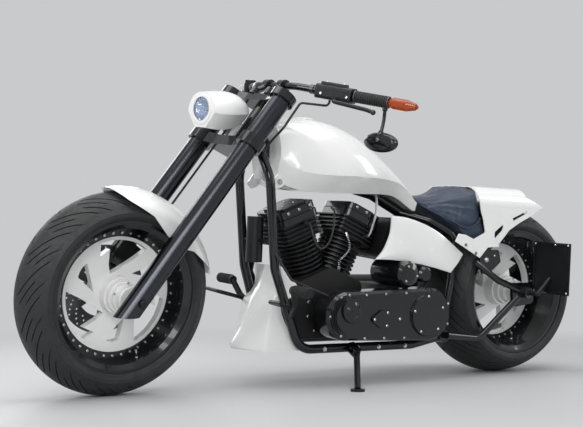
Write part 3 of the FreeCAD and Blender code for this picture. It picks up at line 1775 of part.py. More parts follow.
def build_rear_fender():
    """Flat-topped tail over the tyre, with a spoiler lip and a strut to the frame."""
    half = size("fender_half_width")
    crown = size("fender_crown")
    wall = size("sheet_wall")
    outline = [
        (FENDER_FRONT[-1][0], crown),
        (0, crown),
        (-4, 707),
        (-86, 671),
        (-24, 634),
        (45, 602),
        (90, 576),
        (137, 526),
        (157, 511),
    ] + FENDER_FRONT
    vents = [
        side_prism(
            "fender_slot", rounded([(76, 622), (-4, 656), (2, 643), (70, 613)], 3), 0, half * 2 + 40
        ),
        side_prism(
            "fender_window", rounded([(169, 537), (166, 568), (116, 603), (128, 573)], 5), 0, half * 2 + 40
        ),
    ]
    view = side_prism("fender_view", polygon(outline), 0, half * 2 + 10)
    strut_outline = [
        (158, 512),
        (219, 508),
        (258, 468),
        (382, 528),
        (367, 557),
        (334, 554),
        (292, 538),
        (218, 572),
    ]
    joint_outline = [(178, 514), (219, 508), (230, 514), (216, 572), (190, 562)]
    struts = []
    for side, name in ((1, "left"), (-1, "right")):
        inner = size("strut_inner")
        plate = side_prism(
            f"fender_strut_{name}", polygon(strut_outline), side * (inner + wall / 2), wall
        )
        reach = inner + wall - half + wall
        step = side_prism(
            f"fender_step_{name}",
            polygon(joint_outline),
            side * (half - wall + reach / 2),
            reach,
        )
        struts += [plate, step]

    def arch(inset):
        side = half - inset
        top = crown - inset
        return [
            Part.LineSegment(Vector(-side, 400, 0), Vector(-side, top - 80, 0)),
            Part.Arc(
                Vector(-side, top - 80, 0),
                Vector(-side + 26, top - 18, 0),
                Vector(-side + 84, top - 3, 0),
            ),
            Part.Arc(Vector(-side + 84, top - 3, 0), Vector(0, top, 0), Vector(side - 84, top - 3, 0)),
            Part.Arc(
                Vector(side - 84, top - 3, 0), Vector(side - 26, top - 18, 0), Vector(side, top - 80, 0)
            ),
            Part.LineSegment(Vector(side, top - 80, 0), Vector(side, 400, 0)),
            Part.LineSegment(Vector(side, 400, 0), Vector(-side, 400, 0)),
        ]

    across = Placement(Vector(140, 0, 0), Rotation(Vector(1, 1, 1), 120))
    outer = prism("fender_outer", arch(0), across, 700)
    inner = prism("fender_inner", arch(wall), across, 702)
    shell = cut("fender_shell", common("fender_block", view, outer), fuse("fender_cuts", [inner] + vents))
    finish("rear_fender", fuse("rear_fender_solid", [shell] + struts))
    gap = size("rear_tyre_radius") + size("hugger_gap")
    width = 2 * (half - wall - 6)
    ring_outer = cylinder(
        "hugger_outer", REAR_AXLE - Y_AXIS * width / 2, REAR_AXLE + Y_AXIS * width / 2, gap + wall
    )
    ring_inner = cylinder(
        "hugger_inner", REAR_AXLE - Y_AXIS * width, REAR_AXLE + Y_AXIS * width, gap
    )
    wedge_points = [(REAR_AXLE.x, REAR_AXLE.z)]
    for angle in (58, 80, 102):
        wedge_points.append(
            (
                REAR_AXLE.x + 560 * math.cos(math.radians(angle)),
                REAR_AXLE.z + 560 * math.sin(math.radians(angle)),
            )
        )
    wedge = side_prism("hugger_wedge", polygon(wedge_points), 0, width + 20)
    sheet_ring = common("hugger_sheet", cut("hugger_ring", ring_outer, ring_inner), wedge)
    bolt = math.radians(64)
    reach = gap + wall / 2
    spot = REAR_AXLE + Vector(reach * math.cos(bolt), 0, reach * math.sin(bolt))
    bosses = []
    for side, name in ((1, "left"), (-1, "right")):
        bosses.append(
            cylinder(
                f"hugger_boss_{name}",
                spot + Y_AXIS * side * (width / 2 - 8),
                spot + Y_AXIS * side * (half - wall - size("fit_gap")),
                8,
            )
        )
    finish("tyre_hugger", fuse("hugger_solid", [sheet_ring] + bosses))


def build_oil_tank():
    """Dark oil tank between the uprights, with a white cover on each side."""
    outline = [(640, 607), (545, 593), (420, 549), (336, 500), (368, 418), (460, 438), (570, 460), (690, 464)]
    core_half = size("swingarm_left") - size("upright_inset") - size("rear_tube_diameter") / 2
    core_half -= size("fit_gap")
    finish("oil_tank", side_prism("oil_tank_solid", rounded(outline, 9), 0, 2 * core_half))
    cover_outline = [
        (521, 654),
        (447, 613),
        (347, 503),
        (381, 413),
        (508, 442),
        (626, 463),
        (725, 461),
        (671, 541),
        (671, 612),
        (722, 639),
    ]
    raised = [
        (532, 634),
        (461, 599),
        (366, 502),
        (392, 430),
        (506, 456),
        (622, 477),
        (694, 476),
        (657, 536),
        (657, 620),
    ]
    wall = size("sheet_wall")
    near = size("swingarm_left") - size("upright_inset") + size("rear_tube_diameter") / 2
    near += size("fit_gap")
    covers = []
    for side, name in ((1, "left"), (-1, "right")):
        sheet_outline = rounded(cover_outline, 6)
        plate = side_prism(f"side_cover_{name}_plate", sheet_outline, side * (near + 3), 6)
        swell = side_prism(f"side_cover_{name}_swell", rounded(raised, 8), side * (near + 8), 6)
        pegs = []
        for x, z in ((452, 520), (610, 540)):
            pegs.append(
                cylinder(
                    f"side_cover_{name}_peg_{x}",
                    Vector(x, side * (core_half + size("fit_gap")), z),
                    Vector(x, side * (near + wall), z),
                    8,
                )
            )
        covers.append(fuse(f"side_cover_{name}", [plate, swell] + pegs))
    finish("side_covers", compound("side_cover_pair", covers))


def build_spoiler():
    """Open-backed scoop under the front of the frame."""
    tube_face = size("downtube_spacing") / 2 - size("tube_diameter") / 2 - size("fit_gap")
    spread = (size("rail_spacing") - size("downtube_spacing")) / 2 / 275
    levels = [
        (z, front, back, tube_face + (415 - z) * spread)
        for z, front, back in (
            (134, 1205, 1000),
            (150, 1210, 992),
            (206, 1170, 1048),
            (290, 1138, 1086),
            (330, 1128, 1010),
            (360, 1096, 1010),
            (424, 1108, 1086),
        )
    ]

    def ring(level, inset):
        z, front, back, half = level
        half = half - inset
        front = front - inset
        nose = half * 0.5
        corners = [
            Vector(back, -half, z),
            Vector(front - (front - back) * 0.45, -half, z),
            Vector(front, -nose, z),
            Vector(front, nose, z),
            Vector(front - (front - back) * 0.45, half, z),
            Vector(back, half, z),
        ]
        return Part.makePolygon(corners + [corners[0]])

    outer = loft("spoiler_outer", [ring(level, 0) for level in levels], ruled=True)
    wall = size("sheet_wall")
    inner_levels = [(levels[0][0] - 5, *levels[0][1:])] + levels[1:-1]
    inner_levels.append((levels[-1][0] + 5, *levels[-1][1:]))
    inner = loft(
        "spoiler_inner",
        [ring((z, front, back - 30, half), wall) for z, front, back, half in inner_levels],
        ruled=True,
    )
    finish("chin_spoiler", cut("spoiler_solid", outer, inner))
    foot = Vector(1134, 0, 432)
    strap = Vector(1122, tube_face, 508)
    can = cylinder("regulator_body", foot, foot + Z_AXIS * 158, 29)
    bar = cylinder("regulator_strap", strap - Y_AXIS * 2 * tube_face, strap, 6)
    finish("regulator_can", fuse("regulator_solid", [can, bar]))


def build_plate_holder():
    """Square panel beside the wheel, facing back, on an arm from the axle end."""
    inner_edge = 157
    panel = block("plate_panel", Vector(-66, inner_edge, 335), 5, 186, 200)
    arm_y = inner_edge + 88
    arm = pipe(
        "plate_arm",
        [
            REAR_AXLE + Vector(0, size("swingarm_left") + 34 + size("fit_gap"), 0),
            REAR_AXLE + Vector(0, arm_y, 0),
            REAR_AXLE + Vector(-62, arm_y, 60),
        ],
        9,
        14,
    )
    finish("plate_holder", fuse("plate_solid", [panel, arm]))


def build_foot_controls():
    """Forward pegs and pedals on arms from the downtubes."""
    sets = []
    for side, name in ((1, "left"), (-1, "right")):
        y = side * (size("downtube_spacing") / 2 + size("tube_diameter") / 2 + 17)
        root = Vector(1056, y, 262)
        peg_root = Vector(1098, side * 212, 352)
        arm = pipe(
            f"foot_arm_{name}", [root, Vector(1076, side * 190, 300), peg_root], 11, 16
        )
        outwards = Y_AXIS * side
        peg = cylinder(f"foot_peg_{name}", peg_root - outwards * 6, peg_root + outwards * 98, 15)
        pedal = pipe(
            f"foot_pedal_{name}",
            [
                Vector(1072, side * 170, 288),
                Vector(1170, side * 176, 312),
                Vector(1176, side * 262, 316),
            ],
            7,
            16,
        )
        sets.append(fuse(f"foot_control_{name}_solid", [arm, peg, pedal]))
    finish("foot_controls", compound("foot_control_pair", sets))


# Build, place, check and write

build_front_wheel()
build_rear_wheel()
build_fork()
build_front_fender()
build_front_caliper()
build_headlight()
build_handlebar()
build_lines()
build_frame()
build_rear_axle()
build_rear_caliper()
build_engine()
build_primary()
build_gearbox()
build_right_side()
build_tank()
build_seat()
build_rear_fender()
build_oil_tank()
build_spoiler()
build_plate_holder()
build_foot_controls()
build_side_stand()
doc.recompute()

CARRIED = {
    "frame": STANCE,
    "rear_wheel": STANCE,
    "stand": STANCE,
    "steered": STANCE.multiply(STEERED),
    "front_wheel": STANCE.multiply(STEERED),
}

for piece, carrier in FINISHED:
    piece.Placement = CARRIED[carrier].multiply(piece.Placement)
doc.recompute()

# The origin goes to the ground under the middle of the overall box

lowest = Vector(1e9, 1e9, 1e9)
highest = Vector(-1e9, -1e9, -1e9)
for piece, carrier in FINISHED:
    for point in piece.Shape.tessellate(0.5)[0]:
        lowest = Vector(*(min(a, b) for a, b in zip(lowest, point)))
        highest = Vector(*(max(a, b) for a, b in zip(highest, point)))
centring = Placement(Vector(-(lowest.x + highest.x) / 2, -(lowest.y + highest.y) / 2, 0), Rotation())
for piece, carrier in FINISHED:
    piece.Placement = centring.multiply(piece.Placement)
doc.recompute()

faults = [item.Name for item in doc.Objects if "Invalid" in item.State or "Error" in item.State]
for piece, carrier in FINISHED:
    if piece.Shape.isNull() or not piece.Shape.isValid() or not piece.Shape.Solids:
        faults.append(piece.Label)
if faults:
    raise RuntimeError("pieces that failed: " + ", ".join(faults))

for piece, carrier in FINISHED:
    piece.Shape.exportStep(f"parts/{piece.Label}.step")

print("pieces", len(FINISHED), "height", round(highest.z, 1), "lowest", round(lowest.z, 3))
print("centring", tuple(round(value, 3) for value in centring.Base))
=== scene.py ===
"""Finish of the chopper motorcycle: paint, rubber, leather, and the small parts.

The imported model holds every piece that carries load, at its real size. This
script gives each of them its surface, models the soft saddle, and adds road
tread, screws, grip ribs, lamp insides and engine trim. Places are written in
millimetres on the upright, straight-ahead machine, with X forward, Y to the
rider's left, Z up and the origin on the ground under the rear axle.
"""

from __future__ import annotations

import json
import logging
import math
from dataclasses import dataclass, field, replace
from enum import Enum
from typing import Iterable, Sequence

import bmesh
import bpy
from bpy.types import ID, Curve, Material, Mesh, Node, NodeSocket, NodeTree, Object
from mathutils import Matrix, Vector, geometry, noise
from mathutils.bvhtree import BVHTree

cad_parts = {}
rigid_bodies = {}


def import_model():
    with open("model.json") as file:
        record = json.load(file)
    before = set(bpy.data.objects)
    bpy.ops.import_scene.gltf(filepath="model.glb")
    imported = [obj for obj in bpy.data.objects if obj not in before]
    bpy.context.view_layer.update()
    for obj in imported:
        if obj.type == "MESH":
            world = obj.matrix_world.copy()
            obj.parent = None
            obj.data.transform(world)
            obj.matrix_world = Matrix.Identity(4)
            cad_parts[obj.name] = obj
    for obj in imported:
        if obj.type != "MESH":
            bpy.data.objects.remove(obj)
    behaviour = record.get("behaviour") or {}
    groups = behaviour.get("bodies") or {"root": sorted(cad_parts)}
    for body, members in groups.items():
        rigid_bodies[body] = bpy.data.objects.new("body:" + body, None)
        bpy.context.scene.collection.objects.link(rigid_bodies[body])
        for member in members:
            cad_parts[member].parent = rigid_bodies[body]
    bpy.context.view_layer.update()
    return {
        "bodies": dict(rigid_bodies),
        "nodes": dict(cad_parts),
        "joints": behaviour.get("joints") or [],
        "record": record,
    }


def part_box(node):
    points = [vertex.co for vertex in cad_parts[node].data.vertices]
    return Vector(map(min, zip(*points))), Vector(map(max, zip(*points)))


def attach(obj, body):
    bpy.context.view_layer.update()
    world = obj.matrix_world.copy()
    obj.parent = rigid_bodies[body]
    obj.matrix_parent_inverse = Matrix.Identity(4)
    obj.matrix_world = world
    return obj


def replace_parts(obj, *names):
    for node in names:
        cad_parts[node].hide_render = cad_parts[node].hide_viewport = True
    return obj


LOG = logging.getLogger("chopper")

Colour = tuple[float, float, float]
Point = Sequence[float]
Profile = Sequence[tuple[float, float]]
Outline = list[tuple[float, float]]

X_AXIS = Vector((1.0, 0.0, 0.0))
Y_AXIS = Vector((0.0, 1.0, 0.0))
Z_AXIS = Vector((0.0, 0.0, 1.0))

RAKE = math.radians(36.0)
STEER_UP = Vector((-math.sin(RAKE), 0.0, math.cos(RAKE)))
STEER_AHEAD = Vector((math.cos(RAKE), 0.0, math.sin(RAKE)))
STEER_FOOT = Vector((1603.55, 0.0, 298.1))
FRONT_HUB = Vector((1644.0, 0.0, 327.5))
REAR_HUB = Vector((0.0, 0.0, 333.5))
CRANK = Vector((872.0, 0.0, 272.0))
LEG_Y = 146.0
AXLE_LEAD = 50.0
UPPER_CLAMP = 820.0
LOWER_CLAMP = 618.0
BACKGROUND = 0.60
SURROUNDINGS = 0.40
PALE_SKY = (0.97, 0.985, 1.0, 1.0)
MILLIMETRE = 0.001
CRISP_DEGREES = 34.0


def on_fork(ahead: float, left: float, up: float) -> Vector:
    """Point from its distances along the steering axis and square to it."""
    return STEER_FOOT + STEER_AHEAD * ahead + Y_AXIS * left + STEER_UP * up


def bar_point(reach: float, side: int) -> Vector:
    """Point on the swept arm of the handlebar, from its bend outwards."""
    sweep = math.radians(24.0)
    droop = math.radians(5.5)
    level = reach * math.cos(droop)
    across = side * (112.0 + level * math.cos(sweep))
    return Vector((1077.6 - level * math.sin(sweep), across, 1049.0 - reach * math.sin(droop)))


def linked(name: str, data: ID) -> Object:
    """New object with the data, linked to the scene."""
    made = bpy.data.objects.new(name, data)
    bpy.context.scene.collection.objects.link(made)
    return made


def settled(holder: Object) -> Mesh:
    """Takes an object's final mesh as plain data and removes the object.

    Args:
        holder: the object, with its modifiers.

    Returns:
        The plain mesh.
    """
    graph = bpy.context.evaluated_depsgraph_get()
    mesh = bpy.data.meshes.new_from_object(holder.evaluated_get(graph))
    bpy.data.objects.remove(holder)
    return mesh


class Body(str, Enum):
    """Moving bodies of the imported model."""

    CHASSIS = "chassis"
    FORK = "fork"
    FRONT_WHEEL = "front_wheel"
    REAR_WHEEL = "rear_wheel"
    STAND = "stand"


class Screw(Enum):
    """Head forms of the machine's screws."""

    CAP = "cap"
    DOME = "dome"
    HEX = "hex"


@dataclass(frozen=True)
class Stance:
    """Matrices from machine millimetres to the model's metres.

    Attributes:
        chassis: for what leans with the frame.
        fork: for what also turns with the steering.
    """

    chassis: Matrix
    fork: Matrix

    @classmethod
    def from_joints(cls, joints: Sequence[dict]) -> "Stance":
        """Reads the lean and the steering angle from the joint axes.

        Args:
            joints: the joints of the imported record.

        Returns:
            The stance with both matrices.
        """
        found = {joint["name"]: joint for joint in joints}
        steering = Vector(found["steering"]["axis"]).normalized()

        def matrix(joint: dict, centre: Vector) -> Matrix:
            """Matrix that puts a wheel centre and its axle where the joint says."""
            left = Vector(joint["axis"]).normalized()
            ahead = left.cross(steering)
            forward = ahead * math.cos(RAKE) - steering * math.sin(RAKE)
            upward = forward.cross(left)
            scaled = Matrix((forward, left, upward)).transposed() * MILLIMETRE
            start = Vector(joint["pos_m"]) - scaled @ centre
            return Matrix.Translation(start) @ scaled.to_4x4()

        return cls(
            chassis=matrix(found["rear_wheel_spin"], REAR_HUB),
            fork=matrix(found["front_wheel_spin"], FRONT_HUB),
        )

    def of(self, body: Body) -> Matrix:
        """Matrix for the pieces that ride on a body."""
        if body in (Body.FORK, Body.FRONT_WHEEL):
            return self.fork
        return self.chassis


class NodeBench:
    """Short way to add and join the nodes of one tree."""

    def __init__(self, tree: NodeTree) -> None:
        """Keeps the shader or geometry tree that it fills."""
        self.tree = tree

    @classmethod
    def group(
        cls, kind: str, name: str, outputs: dict[str, str], inputs: dict[str, tuple[str, object]]
    ) -> tuple["NodeBench", Node]:
        """Makes an empty node group with its sockets.

        Args:
            kind: the tree's type name.
            name: the group's name.
            outputs: short type of each output by its name.
            inputs: short type and default of each input by its name.

        Returns:
            The bench and the group's input node.
        """
        tree = bpy.data.node_groups.new(name, kind)
        for label, (short, default) in inputs.items():
            socket = tree.interface.new_socket(label, in_out="INPUT", socket_type="NodeSocket" + short)
            if default is not None:
                socket.default_value = default
        for label, short in outputs.items():
            tree.interface.new_socket(label, in_out="OUTPUT", socket_type="NodeSocket" + short)
        bench = cls(tree)
        return bench, bench.add("NodeGroupInput")

    def put(self, socket: NodeSocket, value: object) -> None:
        """Joins another socket to an input, or sets the input's own value.

        Args:
            socket: the input.
            value: an output socket or a plain value.
        """
        if isinstance(value, NodeSocket):
            self.tree.links.new(value, socket)
        else:
            socket.default_value = value

    def add(self, kind: str, **settings: object) -> Node:
        """Adds a node and sets its properties and inputs.

        Args:
            kind: the node's type name.
            settings: properties by name, and input values in a dict called inputs.

        Returns:
            The new node.
        """
        node = self.tree.nodes.new(kind)
        inputs = settings.pop("inputs", {})
        for name, value in settings.items():
            setattr(node, name, value)
        for name, value in inputs.items():
            self.put(node.inputs[name], value)
        return node

    def math(self, operation: str, first: object, second: object = 0.0) -> NodeSocket:
        """Adds a Math node on two values or sockets and returns its output."""
        return self.add("ShaderNodeMath", operation=operation, inputs={0: first, 1: second}).outputs[0]

    def noise(self, scale: object, detail: float, roughness: float = 0.5) -> NodeSocket:
        """Adds noise on Object coordinates.

        Args:
            scale: its scale, a value or a socket.
            detail: its octaves.
            roughness: how strong the finer octaves are.

        Returns:
            The noise value.
        """
        place = self.add("ShaderNodeTexCoord").outputs["Object"]
        inputs = {"Vector": place, "Scale": scale, "Detail": detail, "Roughness": roughness}
        return self.add("ShaderNodeTexNoise", inputs=inputs).outputs[0]

    def ranged(
        self, value: object, low: float, high: float, start: object = 0.0, end: object = 1.0,
        **settings: object,
    ) -> NodeSocket:
        """Adds a Map Range node.

        Args:
            value: what it reads.
            low: low end of the range that it reads.
            high: its high end.
            start: what the low end becomes.
            end: what the high end becomes.
            settings: the node's properties by name.

        Returns:
            The mapped value.
        """
        names = ("Value", "From Min", "From Max", "To Min", "To Max")
        inputs = dict(zip(names, (value, low, high, start, end)))
        return self.add("ShaderNodeMapRange", inputs=inputs, **settings).outputs[0]

    def blend(self, share: object, first: object, second: object) -> NodeSocket:
        """Adds a mix of two colours and returns its output."""
        mix = self.add("ShaderNodeMix", data_type="RGBA", inputs={0: share, 6: first, 7: second})
        return mix.outputs[2]

class EffectGroups:
    """Shader node groups that several finishes share."""

    def __init__(self) -> None:
        """Builds each group once."""
        self.grain = self._grain()
        self.drift = self._drift()
        self.film = self._film()

    @staticmethod
    def _grain() -> NodeTree:
        """Fine grain: a height for bump and a roughness that varies with it."""
        bench, start = NodeBench.group(
            "ShaderNodeTree", "surface_grain", {"Height": "Float", "Roughness": "Float"},
            {"Scale": ("Float", 200.0), "Smooth": ("Float", 0.2), "Rough": ("Float", 0.4)},
        )
        fine = bench.noise(start.outputs["Scale"], 3.0, 0.6)
        broad = bench.noise(bench.math("MULTIPLY", start.outputs["Scale"], 0.045), 4.0)
        spread = bench.ranged(broad, 0.3, 0.7, start.outputs["Smooth"], start.outputs["Rough"])
        bench.add("NodeGroupOutput", inputs={"Height": fine, "Roughness": spread})
        return bench.tree

    @staticmethod
    def _drift() -> NodeTree:
        """Slow drift of a colour towards a second tone."""
        grey = (0.5, 0.5, 0.5, 1.0)
        bench, start = NodeBench.group(
            "ShaderNodeTree", "tone_drift", {"Colour": "Color"},
            {"Colour": ("Color", grey), "Second": ("Color", grey), "Scale": ("Float", 6.0),
             "Amount": ("Float", 0.5)},
        )
        cloud = bench.noise(start.outputs["Scale"], 5.0, 0.55)
        share = bench.ranged(cloud, 0.35, 0.7, 0.0, start.outputs["Amount"])
        mixed = bench.blend(share, start.outputs["Colour"], start.outputs["Second"])
        bench.add("NodeGroupOutput", inputs={"Colour": mixed})
        return bench.tree

    @staticmethod
    def _film() -> NodeTree:
        """Thin dust: a mask on faces that look up, broken by noise."""
        bench, start = NodeBench.group(
            "ShaderNodeTree", "dust_film", {"Mask": "Float"},
            {"Amount": ("Float", 0.2), "Scale": ("Float", 30.0)},
        )
        shape = bench.add("ShaderNodeNewGeometry")
        split = bench.add("ShaderNodeSeparateXYZ", inputs={"Vector": shape.outputs["Normal"]})
        up = bench.ranged(split.outputs["Z"], 0.1, 1.0)
        cover = bench.ranged(bench.noise(start.outputs["Scale"], 6.0, 0.7), 0.42, 0.72)
        both = bench.math("MULTIPLY", up, cover)
        mask = bench.math("MULTIPLY", both, start.outputs["Amount"])
        bench.add("NodeGroupOutput", inputs={"Mask": mask})
        return bench.tree


@dataclass(frozen=True)
class Finish:
    """One opaque surface finish.

    Attributes:
        name: the material's name.
        slot: the record's material slot that it stands for; not used.
        colour: base colour.
        second: tone that the colour drifts to.
        smooth: lowest roughness.
        rough: highest roughness.
        metallic: share of bare metal.
        coat: weight of the clear coat.
        coat_roughness: roughness of the clear coat.
        specular: level of the plain reflection.
        grain: texture scale per metre.
        depth: bump depth in metres.
        drift: how far the colour drifts.
        drift_scale: how fine the drift is, per metre.
        dust: how much dust lies on faces that look up.
        dust_colour: the dust's colour.
    """

    name: str
    slot: str
    colour: Colour
    second: Colour
    smooth: float
    rough: float
    metallic: float = 0.0
    coat: float = 0.0
    coat_roughness: float = 0.04
    specular: float = 0.5
    grain: float = 300.0
    depth: float = 0.0
    drift: float = 0.3
    drift_scale: float = 7.0
    dust: float = 0.0
    dust_colour: Colour = (0.45, 0.43, 0.40)

    def height_socket(self, bench: NodeBench, grain: Node) -> NodeSocket:
        """Height that feeds the bump; plain finishes use the grain alone."""
        return grain.outputs["Height"]

    def build(self, groups: EffectGroups) -> Material:
        """Makes the material.

        Args:
            groups: the shared effect groups.

        Returns:
            The finished material.
        """
        material = bpy.data.materials.new(self.name)
        material.use_nodes = True
        material.diffuse_color = (*self.colour, 1.0)
        material.node_tree.nodes.clear()
        bench = NodeBench(material.node_tree)
        texture = {"Scale": self.grain, "Smooth": self.smooth, "Rough": self.rough}
        grain = bench.add("ShaderNodeGroup", node_tree=groups.grain, inputs=texture)
        tones = {"Colour": (*self.colour, 1.0), "Second": (*self.second, 1.0)}
        tones |= {"Scale": self.drift_scale, "Amount": self.drift}
        colour = bench.add("ShaderNodeGroup", node_tree=groups.drift, inputs=tones).outputs["Colour"]
        roughness = grain.outputs["Roughness"]
        if self.dust > 0.0:
            film = bench.add("ShaderNodeGroup", node_tree=groups.film, inputs={"Amount": self.dust})
            mask = film.outputs["Mask"]
            colour = bench.blend(mask, colour, (*self.dust_colour, 1.0))
            roughness = bench.math("ADD", roughness, bench.math("MULTIPLY", mask, 0.5))
        shader = bench.add(
            "ShaderNodeBsdfPrincipled",
            inputs={
                "Base Color": colour, "Roughness": roughness, "Metallic": self.metallic,
                "Specular IOR Level": self.specular, "Coat Weight": self.coat,
                "Coat Roughness": self.coat_roughness,
            },
        )
        if self.depth > 0.0:
            height = self.height_socket(bench, grain)
            relief = {"Strength": 1.0, "Distance": self.depth, "Height": height}
            bump = bench.add("ShaderNodeBump", inputs=relief)
            bench.put(shader.inputs["Normal"], bump.outputs["Normal"])
        self.trim(shader)
        bench.add("ShaderNodeOutputMaterial", inputs={"Surface": shader.outputs["BSDF"]})
        return material

    def trim(self, shader: Node) -> None:
        """Last settings on the shader; plain finishes need none."""


@dataclass(frozen=True)
class Leather(Finish):
    """Soft hide with pebbled grain and a little sheen."""

    pebble: float = 620.0

    def height_socket(self, bench: NodeBench, grain: Node) -> NodeSocket:
        """Pebbles of the hide over the fine grain."""
        place = bench.add("ShaderNodeTexCoord").outputs["Object"]
        cells = bench.add(
            "ShaderNodeTexVoronoi", feature="SMOOTH_F1",
            inputs={"Vector": place, "Scale": self.pebble, "Smoothness": 0.4},
        )
        hide = bench.math("MULTIPLY", cells.outputs["Distance"], 0.8)
        return bench.math("ADD", hide, bench.math("MULTIPLY", grain.outputs["Height"], 0.5))

    def trim(self, shader: Node) -> None:
        """Adds the hide's faint sheen."""
        shader.inputs["Sheen Weight"].default_value = 0.12
        shader.inputs["Sheen Roughness"].default_value = 0.4


@dataclass(frozen=True)
class Glass(Finish):
    """Clear or tinted lens."""

    transmission: float = 0.9

    def trim(self, shader: Node) -> None:
        """Makes the shader transmit light."""
        shader.inputs["Transmission Weight"].default_value = self.transmission
        shader.inputs["IOR"].default_value = 1.49


FINISHES: tuple[Finish, ...] = (
    Finish("pearl_white", "white_paint", (0.86, 0.858, 0.85), (0.82, 0.818, 0.81), 0.16, 0.28,
           coat=1.0, coat_roughness=0.03, grain=900.0, depth=0.00001, dust=0.04),
    Finish("gloss_black", "black_gloss_paint", (0.004, 0.0045, 0.006), (0.007, 0.0075, 0.010),
           0.14, 0.24, coat=0.55, specular=0.3, coat_roughness=0.02, grain=700.0, depth=0.00001,
           dust=0.05),
    Finish("fork_black", "black_gloss_paint", (0.055, 0.058, 0.066), (0.050, 0.053, 0.061),
           0.20, 0.22, metallic=1.0, grain=40.0),
    Finish("satin_black", "black_satin_metal", (0.007, 0.0073, 0.0085), (0.014, 0.0142, 0.016),
           0.30, 0.44, grain=1400.0, depth=0.00012, dust=0.05, specular=0.35),
    Finish("crinkle_black", "black_satin_metal", (0.006, 0.006, 0.0068), (0.011, 0.011, 0.012),
           0.40, 0.55, grain=2600.0, depth=0.0004, dust=0.05, specular=0.35),
    Finish("tread_rubber", "tyre_rubber", (0.013, 0.0135, 0.015), (0.022, 0.022, 0.023),
           0.50, 0.70, grain=1500.0, depth=0.0002, drift=0.8, drift_scale=14.0, dust=0.05),
    Finish("grip_rubber", "grip_rubber", (0.012, 0.012, 0.013), (0.02, 0.02, 0.02), 0.6, 0.75,
           grain=2200.0, depth=0.0002),
    Finish("line_rubber", "line_rubber", (0.012, 0.012, 0.013), (0.02, 0.02, 0.021), 0.4, 0.55,
           grain=1600.0, depth=0.0001),
    Finish("belt_rubber", "belt_rubber", (0.015, 0.015, 0.015), (0.03, 0.03, 0.03), 0.6, 0.8,
           grain=1800.0, depth=0.0002),
    Finish("bright_steel", "brake_steel", (0.56, 0.56, 0.57), (0.42, 0.42, 0.43), 0.16, 0.3,
           metallic=1.0, grain=500.0, depth=0.00002),
    Finish("ground_steel", "brake_steel", (0.42, 0.42, 0.43), (0.3, 0.3, 0.31), 0.28, 0.42,
           metallic=1.0, grain=1200.0, depth=0.00005),
    Finish("dark_steel", "dark_steel", (0.13, 0.13, 0.135), (0.09, 0.09, 0.095), 0.3, 0.45,
           metallic=1.0, grain=900.0, depth=0.00005),
    Leather("saddle_hide", "seat_leather", (0.018, 0.032, 0.062), (0.026, 0.040, 0.068),
            0.30, 0.46, grain=900.0, depth=0.0005, drift=0.7, drift_scale=22.0, dust=0.02),
    Glass("lamp_lens", "lamp_glass", (0.80, 0.88, 1.0), (0.7, 0.8, 1.0), 0.02, 0.06, drift=0.1),
    Glass("amber_lens", "amber_plastic", (0.52, 0.085, 0.014), (0.36, 0.05, 0.009), 0.06, 0.14,
          transmission=0.5),
    Glass("bulb_blue", "lamp_glass", (0.62, 0.74, 1.0), (0.4, 0.55, 0.95), 0.03, 0.08,
          transmission=0.35),
    Glass("lamp_lens_red", "amber_plastic", (0.75, 0.03, 0.02), (0.6, 0.02, 0.01), 0.1, 0.2,
          transmission=0.3),
    Finish("braid_steel", "brake_steel", (0.50, 0.50, 0.51), (0.34, 0.34, 0.35), 0.26, 0.4,
           metallic=1.0, grain=2600.0, depth=0.0003),
    # Soot finish: the real soot of a pipe's inside, on discs that also paint the shade of the deep bores.
    Finish("soot_and_painted_shade", "black_satin_metal", (0.008, 0.008, 0.008), (0.014, 0.013, 0.012), 0.85, 0.95,
           grain=1200.0, depth=0.0002),
    Finish("plate_grey", "black_satin_metal", (0.10, 0.10, 0.105), (0.08, 0.08, 0.085), 0.4, 0.5,
           grain=1500.0, depth=0.00005),
    Finish("mirror_silver", "brake_steel", (0.78, 0.80, 0.82), (0.75, 0.77, 0.79), 0.02, 0.05,
           metallic=1.0),
    Finish("reflector_silver", "brake_steel", (0.80, 0.84, 0.92), (0.6, 0.66, 0.8), 0.05, 0.15,
           metallic=1.0),
)


class Palette:
    """Every finish on the machine, built once."""

    def __init__(self, groups: EffectGroups) -> None:
        """Builds the materials with the shared effect groups."""
        self.finishes = {finish.name: finish for finish in FINISHES}
        self.materials = {name: finish.build(groups) for name, finish in self.finishes.items()}

    def dress(self, piece: Object, name: str) -> None:
        """Gives a piece one finish over its whole surface.

        Args:
            piece: the object to dress.
            name: the finish's name.
        """
        slots = piece.data.materials
        if slots:
            for index in range(len(slots)):
                slots[index] = self.materials[name]
        else:
            slots.append(self.materials[name])


